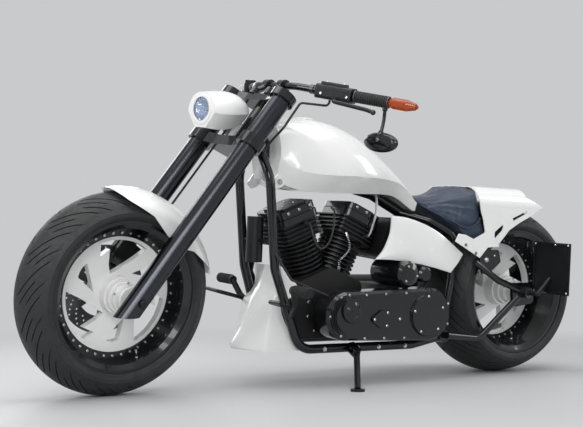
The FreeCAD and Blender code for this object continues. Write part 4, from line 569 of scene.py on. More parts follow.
class Form:
    """Points in machine millimetres, with the faces between them."""

    def __init__(self) -> None:
        """Starts empty."""
        self.points: list[Vector] = []
        self.faces: list[tuple[int, ...]] = []

    def add(self, points: Iterable[Point], faces: Iterable[Sequence[int]]) -> "Form":
        """Adds one island of points and faces, and returns the form."""
        start = len(self.points)
        self.points.extend(Vector(point) for point in points)
        self.faces.extend(tuple(start + index for index in face) for face in faces)
        return self

    def rows(self, rows: Sequence[Sequence[Point]], ring: bool = True, capped: bool = True) -> "Form":
        """Adds quads between rows of equally many points.

        Args:
            rows: the rows, each a loop or an open line.
            ring: whether each row closes on itself.
            capped: whether the first and the last row are filled.

        Returns:
            The form.
        """
        count = len(rows[0])
        faces: list[tuple[int, ...]] = []
        for low in range(0, (len(rows) - 1) * count, count):
            for index in range(count if ring else count - 1):
                after = (index + 1) % count
                faces.append((low + index, low + after, low + count + after, low + count + index))
        if capped:
            faces.append(tuple(range(count)))
            faces.append(tuple(range(len(rows) * count - 1, (len(rows) - 1) * count - 1, -1)))
        return self.add([point for row in rows for point in row], faces)

    def lathe(self, frame: Matrix, profile: Profile, segments: int = 32) -> "Form":
        """Adds a turned shape round the frame's Z axis.

        Args:
            frame: matrix from the shape's own axes to the machine.
            profile: radius and height of each ring, from one end to the other.
            segments: faces round the axis.

        Returns:
            The form.
        """
        return self.rows(
            [
                [frame @ Vector((x, y, height)) for x, y in oval(radius, radius, segments)]
                for radius, height in profile
            ]
        )

    def tube(self, path: Sequence[Point], radius: float, segments: int = 10, steps: int = 6) -> "Form":
        """Adds a round tube along a smooth line through the points.

        Args:
            path: points that the line passes.
            radius: the tube's radius.
            segments: faces round it.
            steps: rings between two points.

        Returns:
            The form.
        """
        line = smooth_line([Vector(point) for point in path], steps)
        side = None
        rows = []
        for index, point in enumerate(line):
            ahead = (line[min(index + 1, len(line) - 1)] - line[max(index - 1, 0)]).normalized()
            side = ahead.orthogonal() if side is None else side - ahead * side.dot(ahead)
            side.normalize()
            other = ahead.cross(side)
            rows.append([point + (side * x + other * y) * radius for x, y in oval(1.0, 1.0, segments)])
        return self.rows(rows)

    def plate(
        self, frame: Matrix, outline: Profile, low: float, high: float, holes: Sequence[Profile] = ()
    ) -> "Form":
        """Adds a flat plate with holes.

        Args:
            frame: matrix from the plate's own axes to the machine.
            outline: corners in the plate's plane.
            low: its lower face along the frame's Z axis.
            high: its upper face.
            holes: outlines of the holes.

        Returns:
            The form.
        """
        loops = [list(outline), *(list(hole) for hole in holes)]
        flat = [[Vector((x, y, 0.0)) for x, y in loop] for loop in loops]
        triangles = geometry.tessellate_polygon(flat)
        corners = [corner for loop in loops for corner in loop]
        count = len(corners)
        points = [frame @ Vector((x, y, level)) for level in (low, high) for x, y in corners]
        faces: list[tuple[int, ...]] = [tuple(face) for face in triangles]
        faces += [tuple(count + index for index in reversed(face)) for face in triangles]
        start = 0
        for loop in loops:
            for index in range(len(loop)):
                first, second = start + index, start + (index + 1) % len(loop)
                faces.append((first, second, count + second, count + first))
            start += len(loop)
        return self.add(points, faces)


def smooth_line(points: Sequence[Vector], steps: int) -> list[Vector]:
    """Points along a smooth line that passes the given ones.

    Args:
        points: the points to pass.
        steps: how many steps between two of them.

    Returns:
        The finer line.
    """
    line: list[Vector] = []
    for index in range(len(points) - 1):
        first = points[max(index - 1, 0)]
        start, end = points[index], points[index + 1]
        last = points[min(index + 2, len(points) - 1)]
        for step in range(steps):
            share = step / steps
            bend = (2.0 * first - 5.0 * start + 4.0 * end - last) * share**2
            twist = (3.0 * start - first - 3.0 * end + last) * share**3
            line.append(0.5 * (2.0 * start + (end - first) * share + bend + twist))
    line.append(points[-1].copy())
    return line


def facing(origin: Point, outwards: Point, upwards: Vector = Z_AXIS) -> Matrix:
    """Frame whose Z axis looks outwards and whose Y axis is as near upwards as it can be.

    Args:
        origin: the frame's origin.
        outwards: direction of its Z axis.
        upwards: direction that its Y axis is to be near.

    Returns:
        The matrix from the frame to the machine.
    """
    depth = Vector(outwards).normalized()
    side = Vector(upwards).cross(depth)
    if side.length < 1e-6:
        side = X_AXIS.cross(depth)
    side.normalize()
    turn = Matrix((side, depth.cross(side), depth)).transposed()
    return Matrix.Translation(origin) @ turn.to_4x4()


def oval(wide: float, tall: float, count: int) -> Outline:
    """Corners of an oval outline, from its half width and half height."""
    turns = (2.0 * math.pi * index / count for index in range(count))
    return [(wide * math.cos(turn), tall * math.sin(turn)) for turn in turns]


def circle(radius: float, count: int, middle: tuple[float, float] = (0.0, 0.0)) -> Outline:
    """Corners of a round outline."""
    return [(middle[0] + x, middle[1] + y) for x, y in oval(radius, radius, count)]


def oblong(wide: float, tall: float) -> Outline:
    """Corners of an oblong outline, from its half width and half height."""
    return [(-wide, -tall), (wide, -tall), (wide, tall), (-wide, tall)]


def around(centre: Point, radius: float, degrees: float) -> Vector:
    """Point on an upright circle beside the machine, from its angle above the forward direction."""
    turn = math.radians(degrees)
    return Vector(centre) + Vector((math.cos(turn), 0.0, math.sin(turn))) * radius


class Trees:
    """Geometry node trees for what repeats."""

    def __init__(self) -> None:
        """Builds each tree once."""
        self.screws = self._screws()
        self.ribs = self._ribs()
        self.teeth = self._teeth()

    @staticmethod
    def _start(name: str, **inputs: tuple[str, object]) -> tuple[NodeBench, Node]:
        """Begins a tree that takes geometry, the inputs and a material, and gives geometry."""
        sockets = {"Geometry": ("Geometry", None), **inputs, "Material": ("Material", None)}
        return NodeBench.group("GeometryNodeTree", name, {"Geometry": "Geometry"}, sockets)

    @staticmethod
    def _end(bench: NodeBench, start: Node, **inputs: NodeSocket) -> NodeTree:
        """Puts a shape on each point, makes the copies real and gives them their material.

        Args:
            bench: the tree's bench.
            start: the tree's input node.
            inputs: the points, the shape, its rotation and its scale, by their sockets' names.

        Returns:
            The finished tree.
        """
        placed = bench.add("GeometryNodeInstanceOnPoints", inputs=inputs)
        real = bench.add("GeometryNodeRealizeInstances", inputs={"Geometry": placed.outputs["Instances"]})
        painted = bench.add(
            "GeometryNodeSetMaterial",
            inputs={"Geometry": real.outputs["Geometry"], "Material": start.outputs["Material"]},
        )
        bench.add("NodeGroupOutput", inputs={"Geometry": painted.outputs["Geometry"]})
        return bench.tree

    @staticmethod
    def _along(bench: NodeBench, start: Node, axis: str) -> tuple[Node, NodeSocket]:
        """Spaces points along the input curve, with one axis on its tangent.

        Args:
            bench: the tree's bench.
            start: the tree's input node.
            axis: the axis that follows the curve.

        Returns:
            The points' output and their rotation.
        """
        line = bench.add(
            "GeometryNodeResampleCurve",
            inputs={"Curve": start.outputs["Geometry"], "Count": start.outputs["Count"]},
        )
        way = bench.add("GeometryNodeInputTangent")
        aimed = bench.add("FunctionNodeAlignRotationToVector", axis=axis, inputs={"Vector": way.outputs[0]})
        return line.outputs["Curve"], aimed.outputs[0]

    def _screws(self) -> NodeTree:
        """One head on each point, along its facing, at its size, with a seeded turn."""
        bench, start = self._start("screw_field", Head=("Object", None), Seed=("Int", 7))
        head = bench.add("GeometryNodeObjectInfo", inputs={"Object": start.outputs["Head"]})
        look, size = (
            bench.add("GeometryNodeInputNamedAttribute", data_type=kind, inputs={"Name": name})
            for name, kind in (("facing", "FLOAT_VECTOR"), ("size", "FLOAT"))
        )
        aimed = bench.add("FunctionNodeAlignRotationToVector", axis="Z", inputs={"Vector": look.outputs[0]})
        seed = start.outputs["Seed"]
        share = bench.add("FunctionNodeRandomValue", data_type="FLOAT", inputs={"Seed": seed})
        angle = bench.math("MULTIPLY", share.outputs[1], math.pi)
        turn = bench.add("FunctionNodeAxisAngleToRotation", inputs={"Axis": Z_AXIS, "Angle": angle})
        both = {0: aimed.outputs[0], 1: turn.outputs[0]}
        spin = bench.add("FunctionNodeRotateRotation", rotation_space="LOCAL", inputs=both)
        return self._end(
            bench, start, Points=start.outputs["Geometry"], Instance=head.outputs["Geometry"],
            Rotation=spin.outputs[0], Scale=size.outputs[0],
        )

    def _ribs(self) -> NodeTree:
        """Evenly spaced rings round a curve."""
        bench, start = self._start(
            "ribs_along", Count=("Int", 12), Ring=("Float", 0.018), Rib=("Float", 0.0015)
        )
        points, aimed = self._along(bench, start, "Z")
        ring, bead = (
            bench.add("GeometryNodeCurvePrimitiveCircle", inputs={"Radius": radius, "Resolution": count})
            for radius, count in ((start.outputs["Ring"], 28), (start.outputs["Rib"], 8))
        )
        rib = bench.add(
            "GeometryNodeCurveToMesh",
            inputs={"Curve": ring.outputs["Curve"], "Profile Curve": bead.outputs["Curve"]},
        )
        return self._end(bench, start, Points=points, Instance=rib.outputs["Mesh"], Rotation=aimed)

    def _teeth(self) -> NodeTree:
        """Square bars across a closed curve, for a toothed belt."""
        bench, start = self._start(
            "teeth_along", Count=("Int", 120), Size=("Vector", (0.006, 0.018, 0.004)),
            Across=("Vector", (0.0, 1.0, 0.0)),
        )
        points, along = self._along(bench, start, "X")
        square = bench.add(
            "FunctionNodeAlignRotationToVector", axis="Y", pivot_axis="X",
            inputs={"Rotation": along, "Vector": start.outputs["Across"]},
        )
        bar = bench.add("GeometryNodeMeshCube", inputs={"Size": start.outputs["Size"]})
        turn = square.outputs[0]
        return self._end(bench, start, Points=points, Instance=bar.outputs["Mesh"], Rotation=turn)


class Workshop:
    """Makes finished pieces out of forms, curves and trees."""

    def __init__(self, stance: Stance, palette: Palette, nodes: dict[str, Object]) -> None:
        """Keeps what every piece needs.

        Args:
            stance: the machine's stance.
            palette: its finishes.
            nodes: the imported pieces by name.
        """
        self.stance = stance
        self.palette = palette
        self.nodes = nodes
        self.trees = Trees()
        self._skins: dict[str, BVHTree] = {}

    def finish(self, mesh: Mesh, name: str, body: Body, finish: str) -> Object:
        """Makes a mesh in world metres a piece that rides on a body.

        Args:
            mesh: the piece's mesh.
            name: the piece's name.
            body: the body that carries it.
            finish: its finish.

        Returns:
            The piece.
        """
        mesh.name = name
        piece = linked(name, mesh)
        self.palette.dress(piece, finish)
        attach(piece, body.value)
        LOG.info("%s: %d faces on %s", name, len(mesh.polygons), body.value)
        return piece

    def mesh(self, form: Form, body: Body, bevel: float = 0.0, angle: float = CRISP_DEGREES) -> Mesh:
        """Turns a form into a clean mesh in world metres.

        Args:
            form: the form, in machine millimetres.
            body: the body whose stance places it.
            bevel: width of the rounding on its sharp edges, in millimetres.
            angle: edges sharper than this stay crisp, in degrees.

        Returns:
            The mesh.
        """
        matrix = self.stance.of(body)
        mesh = bpy.data.meshes.new("form")
        mesh.from_pydata([matrix @ point for point in form.points], [], form.faces)
        shell = bmesh.new()
        shell.from_mesh(mesh)
        bmesh.ops.remove_doubles(shell, verts=shell.verts, dist=2e-6)
        bmesh.ops.recalc_face_normals(shell, faces=shell.faces)
        if bevel > 0.0:
            least = math.radians(28.0)
            closed = (edge for edge in shell.edges if len(edge.link_faces) == 2)
            edges = [edge for edge in closed if edge.calc_face_angle(0.0) > least]
            bmesh.ops.bevel(
                shell, geom=edges, offset=bevel * MILLIMETRE, segments=2, profile=0.6, affect="EDGES",
                clamp_overlap=True,
            )
        shell.to_mesh(mesh)
        shell.free()
        mesh.polygons.foreach_set("use_smooth", [True] * len(mesh.polygons))
        mesh.set_sharp_from_angle(angle=math.radians(angle))
        return mesh

    def grown(
        self, name: str, seed: ID, tree: NodeTree, body: Body, finish: str, **values: object
    ) -> Object:
        """Runs a tree on a mesh or curve and makes its result a piece.

        Args:
            name: the piece's name.
            seed: the mesh or curve that the tree starts from, in world metres.
            tree: the tree.
            body: the body that carries the piece.
            finish: its finish.
            values: the tree's inputs by name.

        Returns:
            The piece.
        """
        holder = linked(name + "_rule", seed)
        modifier = holder.modifiers.new("rule", "NODES")
        modifier.node_group = tree
        values["Material"] = self.palette.materials[finish]
        for item in tree.interface.items_tree:
            if item.in_out == "INPUT" and item.name in values:
                modifier[item.identifier] = values[item.name]
        bpy.context.view_layer.update()
        mesh = settled(holder)
        mesh.polygons.foreach_set("use_smooth", [True] * len(mesh.polygons))
        mesh.set_sharp_from_angle(angle=math.radians(CRISP_DEGREES))
        return self.finish(mesh, name, body, finish)

    def curve(self, points: Sequence[Point], body: Body, closed: bool = False) -> Curve:
        """Straight-run curve through machine points, in world metres.

        Args:
            points: the machine points.
            body: the body whose stance places them.
            closed: whether it runs back to its start.

        Returns:
            The curve.
        """
        matrix = self.stance.of(body)
        curve = bpy.data.curves.new("line", "CURVE")
        curve.dimensions = "3D"
        spline = curve.splines.new("POLY")
        spline.points.add(len(points) - 1)
        for spot, point in zip(spline.points, points):
            spot.co = (*(matrix @ Vector(point)), 1.0)
        spline.use_cyclic_u = closed
        return curve

    def land(
        self, node: str, body: Body, point: Point, outwards: Point, reach: float = 160.0
    ) -> Vector | None:
        """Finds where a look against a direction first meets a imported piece.

        Args:
            node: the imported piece.
            body: the body that carries it.
            point: a machine point near its skin.
            outwards: the direction that the skin faces.
            reach: how far outside the look starts, in millimetres.

        Returns:
            The machine point on the skin, or None where there is none.
        """
        if node not in self._skins:
            mesh = self.nodes[node].data
            spots = [vertex.co.copy() for vertex in mesh.vertices]
            self._skins[node] = BVHTree.FromPolygons(spots, [tuple(face.vertices) for face in mesh.polygons])
        matrix = self.stance.of(body)
        look = Vector(outwards).normalized()
        start = matrix @ (Vector(point) + look * reach)
        end = matrix @ (Vector(point) - look * reach)
        hit = self._skins[node].ray_cast(start, (end - start).normalized(), (end - start).length)[0]
        if hit is None:
            LOG.info("nothing of %s at %s", node, tuple(round(value) for value in point))
            return None
        return matrix.inverted() @ hit


@dataclass
class Hardware:
    """Every screw on the machine, gathered by body, head and finish."""

    shop: Workshop
    groups: dict[tuple[Body, Screw, str], list[tuple[Vector, Vector, float]]] = field(default_factory=dict)

    def add(
        self, kind: Screw, finish: str, body: Body, point: Point | None, outwards: Point, radius: float
    ) -> None:
        """Notes one screw.

        Args:
            kind: form of its head.
            finish: its finish.
            body: the body that carries it.
            point: machine point under the head, or None for no screw.
            outwards: direction that the head faces.
            radius: the head's radius.
        """
        if point is None:
            return
        entry = (Vector(point), Vector(outwards).normalized(), radius)
        self.groups.setdefault((body, kind, finish), []).append(entry)

    @staticmethod
    def head(kind: Screw) -> Object:
        """Head of one screw, of radius one, standing on the ground of its own axes.

        Args:
            kind: form of the head.

        Returns:
            The head, as a scene object.
        """
        cap = [(1.0, -0.12), (1.0, 0.88), (0.88, 1.0), (0.58, 1.0), (0.52, 0.55)]
        dome = [(1.0, -0.12), (1.0, 0.12), (0.86, 0.42), (0.56, 0.62), (0.46, 0.62), (0.42, 0.3)]
        hexagon = [(1.22, -0.12), (1.22, 0.1), (1.0, 0.1), (1.0, 0.68), (0.86, 0.8)]
        profile = {Screw.CAP: cap, Screw.DOME: dome, Screw.HEX: hexagon}[kind]
        flat_from = {Screw.CAP: 3, Screw.DOME: 4, Screw.HEX: 2}[kind]
        flat = 0.89
        rows = []
        for index, (radius, height) in enumerate(profile):
            row = []
            for step, (x, y) in enumerate(oval(radius, radius, 12)):
                share = flat if index >= flat_from and step % 2 == 0 else 1.0
                row.append(Vector((x * share, y * share, height)))
            rows.append(row)
        form = Form().rows(rows)
        mesh = bpy.data.meshes.new("head")
        mesh.from_pydata(form.points, [], form.faces)
        shell = bmesh.new()
        shell.from_mesh(mesh)
        bmesh.ops.recalc_face_normals(shell, faces=shell.faces)
        shell.to_mesh(mesh)
        shell.free()
        return linked("head", mesh)

    def build(self) -> None:
        """Makes one piece of each group."""
        heads = {kind: self.head(kind) for kind in Screw}
        for (body, kind, finish), screws in self.groups.items():
            matrix = self.shop.stance.of(body)
            mesh = bpy.data.meshes.new("screw_spots")
            mesh.from_pydata([matrix @ point for point, _, _ in screws], [], [])
            mesh.attributes.new("facing", "FLOAT_VECTOR", "POINT")
            mesh.attributes.new("size", "FLOAT", "POINT")
            for index, (_, outwards, radius) in enumerate(screws):
                look = (matrix.to_3x3() @ outwards).normalized()
                mesh.attributes["facing"].data[index].vector = look
                mesh.attributes["size"].data[index].value = radius * MILLIMETRE
            name = f"{body.value}_{kind.value}_screws_{finish}"
            self.shop.grown(name, mesh, self.shop.trees.screws, body, finish, Head=heads[kind])
        for head in heads.values():
            bpy.data.objects.remove(head)


@dataclass
class Studio:
    """Camera, lamps and floor, placed in metres from the rear tyre's foot."""

    stance: Stance
    ahead: float = 2.824
    left: float = 2.978
    high: float = 0.370
    heading: float = 237.897
    rise: float = 3.850
    lens: float = 60.19
    sensor: float = 36.0

    @staticmethod
    def aimed(place: Point, look: Vector) -> Matrix:
        """Matrix that puts a camera or lamp at a place and aims it along a direction."""
        return Matrix.Translation(place) @ look.to_track_quat("-Z", "Y").to_matrix().to_4x4()

    def camera(self) -> None:
        """Puts the camera where the photograph was taken."""
        data = bpy.data.cameras.new("camera")
        data.lens = self.lens
        data.sensor_width = self.sensor
        data.sensor_fit = "HORIZONTAL"
        data.clip_end = 60.0
        camera = linked("camera", data)
        turn = math.radians(self.heading)
        tilt = math.radians(self.rise)
        look = Vector((math.cos(turn) * math.cos(tilt), math.sin(turn) * math.cos(tilt), math.sin(tilt)))
        ground = self.stance.chassis.translation
        eye = Vector((ground.x + self.ahead, ground.y + self.left, self.high))
        camera.matrix_world = self.aimed(eye, look)
        bpy.context.scene.camera = camera

    @staticmethod
    def lamp(name: str, place: Point, target: Point, size: tuple[float, float], power: float) -> None:
        """Adds one soft box.

        Args:
            name: the lamp's name.
            place: where it stands, in metres.
            target: the point that it faces.
            size: width and height in metres.
            power: watts.
        """
        data = bpy.data.lights.new(name, "AREA")
        data.shape = "RECTANGLE"
        data.size, data.size_y = size
        data.energy = power
        lamp = linked(name, data)
        lamp.matrix_world = Studio.aimed(place, Vector(target) - Vector(place))

    def lamps(self) -> None:
        """Sets the soft boxes and the pale surroundings."""
        self.lamp("top_box", (0.2, 0.3, 3.4), (0.0, 0.0, 0.4), (4.2, 2.4), 78.0)
        self.lamp("key_box", (2.9, 3.1, 2.3), (0.1, 0.0, 0.5), (1.8, 1.8), 58.0)
        self.lamp("front_strip", (4.4, 0.4, 1.9), (0.4, 0.0, 0.5), (0.8, 2.2), 34.0)
        self.lamp("leg_strip", (1.7, 3.6, 1.7), (0.5, 0.1, 0.6), (0.35, 2.4), 14.0)
        self.lamp("rear_strip", (-3.8, 2.2, 1.9), (-0.4, 0.0, 0.5), (0.9, 2.2), 32.0)
        self.lamp("far_box", (0.4, -3.4, 2.2), (0.0, 0.0, 0.5), (3.0, 1.6), 40.0)

    @staticmethod
    def world() -> None:
        """Pale surroundings, even for light and white for the camera."""
        world = bpy.data.worlds.new("surroundings")
        bpy.context.scene.world = world
        world.use_nodes = True
        world.node_tree.nodes.clear()
        bench = NodeBench(world.node_tree)
        path = bench.add("ShaderNodeLightPath")
        mirrored = bench.math("MAXIMUM", path.outputs["Is Glossy Ray"], path.outputs["Is Transmission Ray"])
        seen = bench.math("MAXIMUM", path.outputs["Is Camera Ray"], mirrored)
        strength = bench.ranged(seen, 0.0, 1.0, SURROUNDINGS, BACKGROUND)
        sky = bench.add("ShaderNodeBackground", inputs={"Color": PALE_SKY, "Strength": strength})
        bench.add("ShaderNodeOutputWorld", inputs={"Surface": sky.outputs[0]})

    @staticmethod
    def floor() -> None:
        """Plain pale floor under the tyres, which passes into the surroundings further out."""
        mesh = bpy.data.meshes.new("floor")
        half = 60.0
        mesh.from_pydata([(x, y, 0.0) for x, y in oblong(half, half)], [], [(0, 1, 2, 3)])
        floor = linked("floor", mesh)
        material = bpy.data.materials.new("pale_floor")
        material.use_nodes = True
        bench = NodeBench(material.node_tree)
        shader = material.node_tree.nodes["Principled BSDF"]
        shader.inputs["Base Color"].default_value = (0.52, 0.525, 0.53, 1.0)
        shader.inputs["Roughness"].default_value = 0.55
        place = bench.add("ShaderNodeTexCoord").outputs["Object"]
        away = bench.add("ShaderNodeVectorMath", operation="LENGTH", inputs={0: place})
        share = bench.ranged(away.outputs["Value"], 1.5, 4.2, interpolation_type="SMOOTHSTEP")
        pale = bench.add("ShaderNodeEmission", inputs={"Color": PALE_SKY, "Strength": BACKGROUND})
        mix = bench.add("ShaderNodeMixShader", inputs={0: share, 1: shader.outputs[0], 2: pale.outputs[0]})
        bench.put(material.node_tree.nodes["Material Output"].inputs["Surface"], mix.outputs[0])
        mesh.materials.append(material)

    def build(self) -> None:
        """Sets up the whole studio."""
        self.camera()
        self.lamps()
        self.world()
        self.floor()
        bpy.context.scene.view_settings.view_transform = "Standard"


CAD_FINISHES: dict[str, tuple[str, ...]] = {
    "tread_rubber": ("front_tyre", "rear_tyre"),
    "gloss_black": (
        "front_rim", "rear_rim", "lower_clamp", "upper_clamp", "handlebar", "mirrors", "risers",
        "frame_backbone", "frame_side_left", "frame_side_right", "swingarm_left", "swingarm_right",
        "rocker_covers", "primary_cover", "starter_motor", "cam_cover", "air_cleaner",
    ),
    "pearl_white": (
        "front_wheel_centre", "rear_wheel_centre", "front_fender", "headlight", "fuel_tank", "rear_fender",
        "side_covers", "chin_spoiler",
    ),
    "dark_steel": ("front_disc", "rear_disc", "front_axle", "rear_axle"),
    "satin_black": (
        "rear_pulley", "front_caliper", "rear_caliper", "hand_control_left", "hand_control_right",
        "engine_cylinder_front", "engine_cylinder_rear", "cylinder_heads", "exhaust_pipes", "tyre_hugger",
        "oil_tank", "regulator_can", "plate_holder", "foot_controls", "side_stand",
    ),
    "fork_black": ("fork_leg_left", "fork_leg_right"),
    "line_rubber": ("brake_hose", "clutch_line_upper", "clutch_line_lower"),
    "lamp_lens": ("headlight_lens",),
    "grip_rubber": ("grips",),
    "amber_lens": ("turn_signals",),
    "crinkle_black": ("crankcase", "gearbox"),
    "belt_rubber": ("drive_belt",),
    "saddle_hide": ("seat_pad",),
}


@dataclass(frozen=True)
class Assembly:
    """One sub-assembly's pieces, with what makes them."""

    shop: Workshop
    hardware: Hardware
    body: Body = Body.CHASSIS

    def piece(self, name: str, form: Form, finish: str, bevel: float = 0.0) -> Object:
        """Makes a form a piece on this body."""
        return self.shop.finish(self.shop.mesh(form, self.body, bevel), name, self.body, finish)

    def ribbed(
        self, name: str, ends: Sequence[Point], finish: str, count: int, ring: float, rib: float
    ) -> None:
        """Puts evenly spaced rings round a line on this body."""
        line = self.shop.curve(ends, self.body)
        self.shop.grown(name, line, self.shop.trees.ribs, self.body, finish, Count=count, Ring=ring, Rib=rib)

    def skin(self, node: str, point: Point, outwards: Point) -> Vector | None:
        """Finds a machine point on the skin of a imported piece."""
        return self.shop.land(node, self.body, point, outwards)

    def screw(
        self, kind: Screw, node: str, point: Point, outwards: Point, radius: float,
        finish: str = "bright_steel",
    ) -> None:
        """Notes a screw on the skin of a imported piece, where it has one there."""
        self.stud(kind, self.skin(node, point, outwards), outwards, radius, finish)

    def stud(
        self, kind: Screw, point: Point | None, outwards: Point, radius: float, finish: str = "bright_steel"
    ) -> None:
        """Notes a screw at a machine point."""
        self.hardware.add(kind, finish, self.body, point, outwards, radius)


@dataclass(frozen=True)
class Groove:
    """One family of tread grooves on one side of the tyre.

    Attributes:
        slot: which third of the pitch it runs in.
        side: 1 for the left side and -1 for the right.
        inner: share of the half tread where it begins.
        outer: share where it ends.
        width: its width in millimetres.
        depth: its depth in millimetres.
    """

    slot: int
    side: int
    inner: float
    outer: float
    width: float
    depth: float

    def mirrored(self) -> "Groove":
        """The same groove on the right side, a third of a pitch later."""
        return replace(self, slot=(self.slot + 1) % 3, side=-1)


@dataclass(frozen=True, kw_only=True)
class Tyre(Assembly):
    """Road tyre with swept grooves, a rim guard and ribs on its sidewalls.

    Attributes:
        node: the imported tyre.
        hub: the wheel's centre.
        radius: radius of the crown.
        width: widest measure across.
        crown: radius of the tread's arc.
        rim_width: width between the rim's flanges.
        pitches: how often the grooves repeat.
        sweep: turn of a groove from the crown to the shoulder, in radians.
        grooves: the left side's grooves.
        seat: radius of the bead's foot.
        lip: radius where the sidewall begins.
        bead_wall: from the rim's flange to the bead.
        sidewall_steps: rings of one sidewall.
        tread_steps: rings of half the tread.
    """

    node: str
    hub: Vector
    radius: float
    width: float
    crown: float
    rim_width: float
    pitches: int
    sweep: float
    grooves: tuple[Groove, ...]
    seat: float = 228.8
    lip: float = 244.0
    bead_wall: float = 6.3
    sidewall_steps: int = 22
    tread_steps: int = 26

    @staticmethod
    def arc(first: Point, middle: Point, last: Point, count: int) -> list[Vector]:
        """Points on the circle arc through three points, in the plane of the section.

        Args:
            first: start of the arc.
            middle: a point that it passes.
            last: its end.
            count: how many steps it has.

        Returns:
            The points, with both ends.
        """
        ax, ay = first
        bx, by = middle
        cx, cy = last
        double = 2.0 * (ax * (by - cy) + bx * (cy - ay) + cx * (ay - by))
        a2, b2, c2 = ax * ax + ay * ay, bx * bx + by * by, cx * cx + cy * cy
        x = (a2 * (by - cy) + b2 * (cy - ay) + c2 * (ay - by)) / double
        y = (a2 * (cx - bx) + b2 * (ax - cx) + c2 * (bx - ax)) / double
        reach = math.hypot(ax - x, ay - y)
        start = math.atan2(ay - y, ax - x)
        end = math.atan2(cy - y, cx - x)
        turn = (end - start + math.pi) % (2.0 * math.pi) - math.pi
        steps = (start + turn * index / count for index in range(count + 1))
        return [Vector((x + reach * math.cos(step), y + reach * math.sin(step))) for step in steps]

    def half_section(self) -> list[tuple[float, float, float]]:
        """Across, radius and tread share of the left half, from the bead to the crown.

        Returns:
            The ring places. The share is 0 at the crown, 1 at the shoulder and more on the sidewall.
        """
        bead = self.rim_width / 2.0 - self.bead_wall
        shoulder = self.width / 2.0 * 0.93
        level = self.radius - self.crown
        edge = level + math.sqrt(self.crown**2 - shoulder**2)
        bulge = (edge + self.lip) / 2.0
        wall = self.arc((bead, self.lip), (self.width / 2.0, bulge), (shoulder, edge), self.sidewall_steps)
        spots = [(bead, self.seat, 2.0), (bead, self.lip - 4.0, 2.0)]
        ridges = {3: 1.6, 4: 2.2, 5: 1.2, 8: 0.9, 10: 0.9, 12: 0.9, 17: 1.0}
        for index, point in enumerate(wall[:-1]):
            before, after = wall[max(index - 1, 0)], wall[index + 1]
            along = (after - before).normalized()
            out = Vector((along.y, -along.x)) * ridges.get(index, 0.0)
            spots.append((point.x + out.x, point.y + out.y, 2.0 - index / self.sidewall_steps))
        for step in range(self.tread_steps + 1):
            share = 1.0 - step / self.tread_steps
            across = shoulder * share
            spots.append((across, level + math.sqrt(self.crown**2 - across**2), share))
        return spots

    def columns(self) -> list[tuple[float, int]]:
        """Angle of each column, and the slot whose groove it lies in, or -1."""
        pitch = 2.0 * math.pi / self.pitches
        widest = max(groove.width for groove in self.grooves)
        half = widest / 2.0 / self.radius
        wall = 0.9 / self.radius
        columns = []
        for index in range(self.pitches):
            for slot in range(3):
                middle = pitch * (index + slot / 3.0)
                columns += [(middle - half - wall, -1), (middle - half, slot)]
                columns += [(middle + half, slot), (middle + half + wall, -1)]
                free = pitch / 3.0 - 2.0 * (half + wall)
                columns += [(middle + half + wall + free * step / 4.0, -1) for step in (1, 2, 3)]
        return columns

    def sunk(self, slot: int, side: int, share: float) -> float:
        """Depth of the tread in a column.

        Args:
            slot: the column's slot.
            side: the side of the tyre.
            share: the ring's tread share.

        Returns:
            The depth in millimetres, 0 outside the grooves.
        """
        for groove in (*self.grooves, *(groove.mirrored() for groove in self.grooves)):
            if groove.slot == slot and groove.side == side and groove.inner <= share <= groove.outer:
                ends = min((share - groove.inner) / 0.05, (groove.outer - share) / 0.05, 1.0)
                return groove.depth * ends
        return 0.0

    def build(self) -> None:
        """Makes the tyre in place of its plain solid."""
        half = self.half_section()
        section = [(across, radius, share, 1) for across, radius, share in half]
        section += [(-across, radius, share, -1) for across, radius, share in reversed(half[:-1])]
        columns = self.columns()
        rows = []
        for index, (across, radius, share, side) in enumerate(section):
            before, after = section[max(index - 1, 0)], section[min(index + 1, len(section) - 1)]
            along = Vector((after[0] - before[0], after[1] - before[1])).normalized()
            out = Vector((along.y, -along.x))
            out = -out if side * out.x < 0.0 and share > 1.0 else out
            out = out if out.y > 0.0 or share > 1.0 else -out
            swept = self.sweep * min(share, 1.0) ** 1.4
            row = []
            for turn, slot in columns:
                depth = self.sunk(slot, side, share) if slot >= 0 and share <= 1.0 else 0.0
                reach = radius - out.y * depth
                angle = turn + swept
                place = Vector((reach * math.cos(angle), across - out.x * depth, reach * math.sin(angle)))
                row.append(self.hub + place)
            rows.append(row)
        rows.append(rows[0])
        mesh = self.shop.mesh(Form().rows(rows, capped=False), self.body, angle=40.0)
        piece = self.shop.finish(mesh, self.node + "_tread", self.body, "tread_rubber")
        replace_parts(piece, self.node)


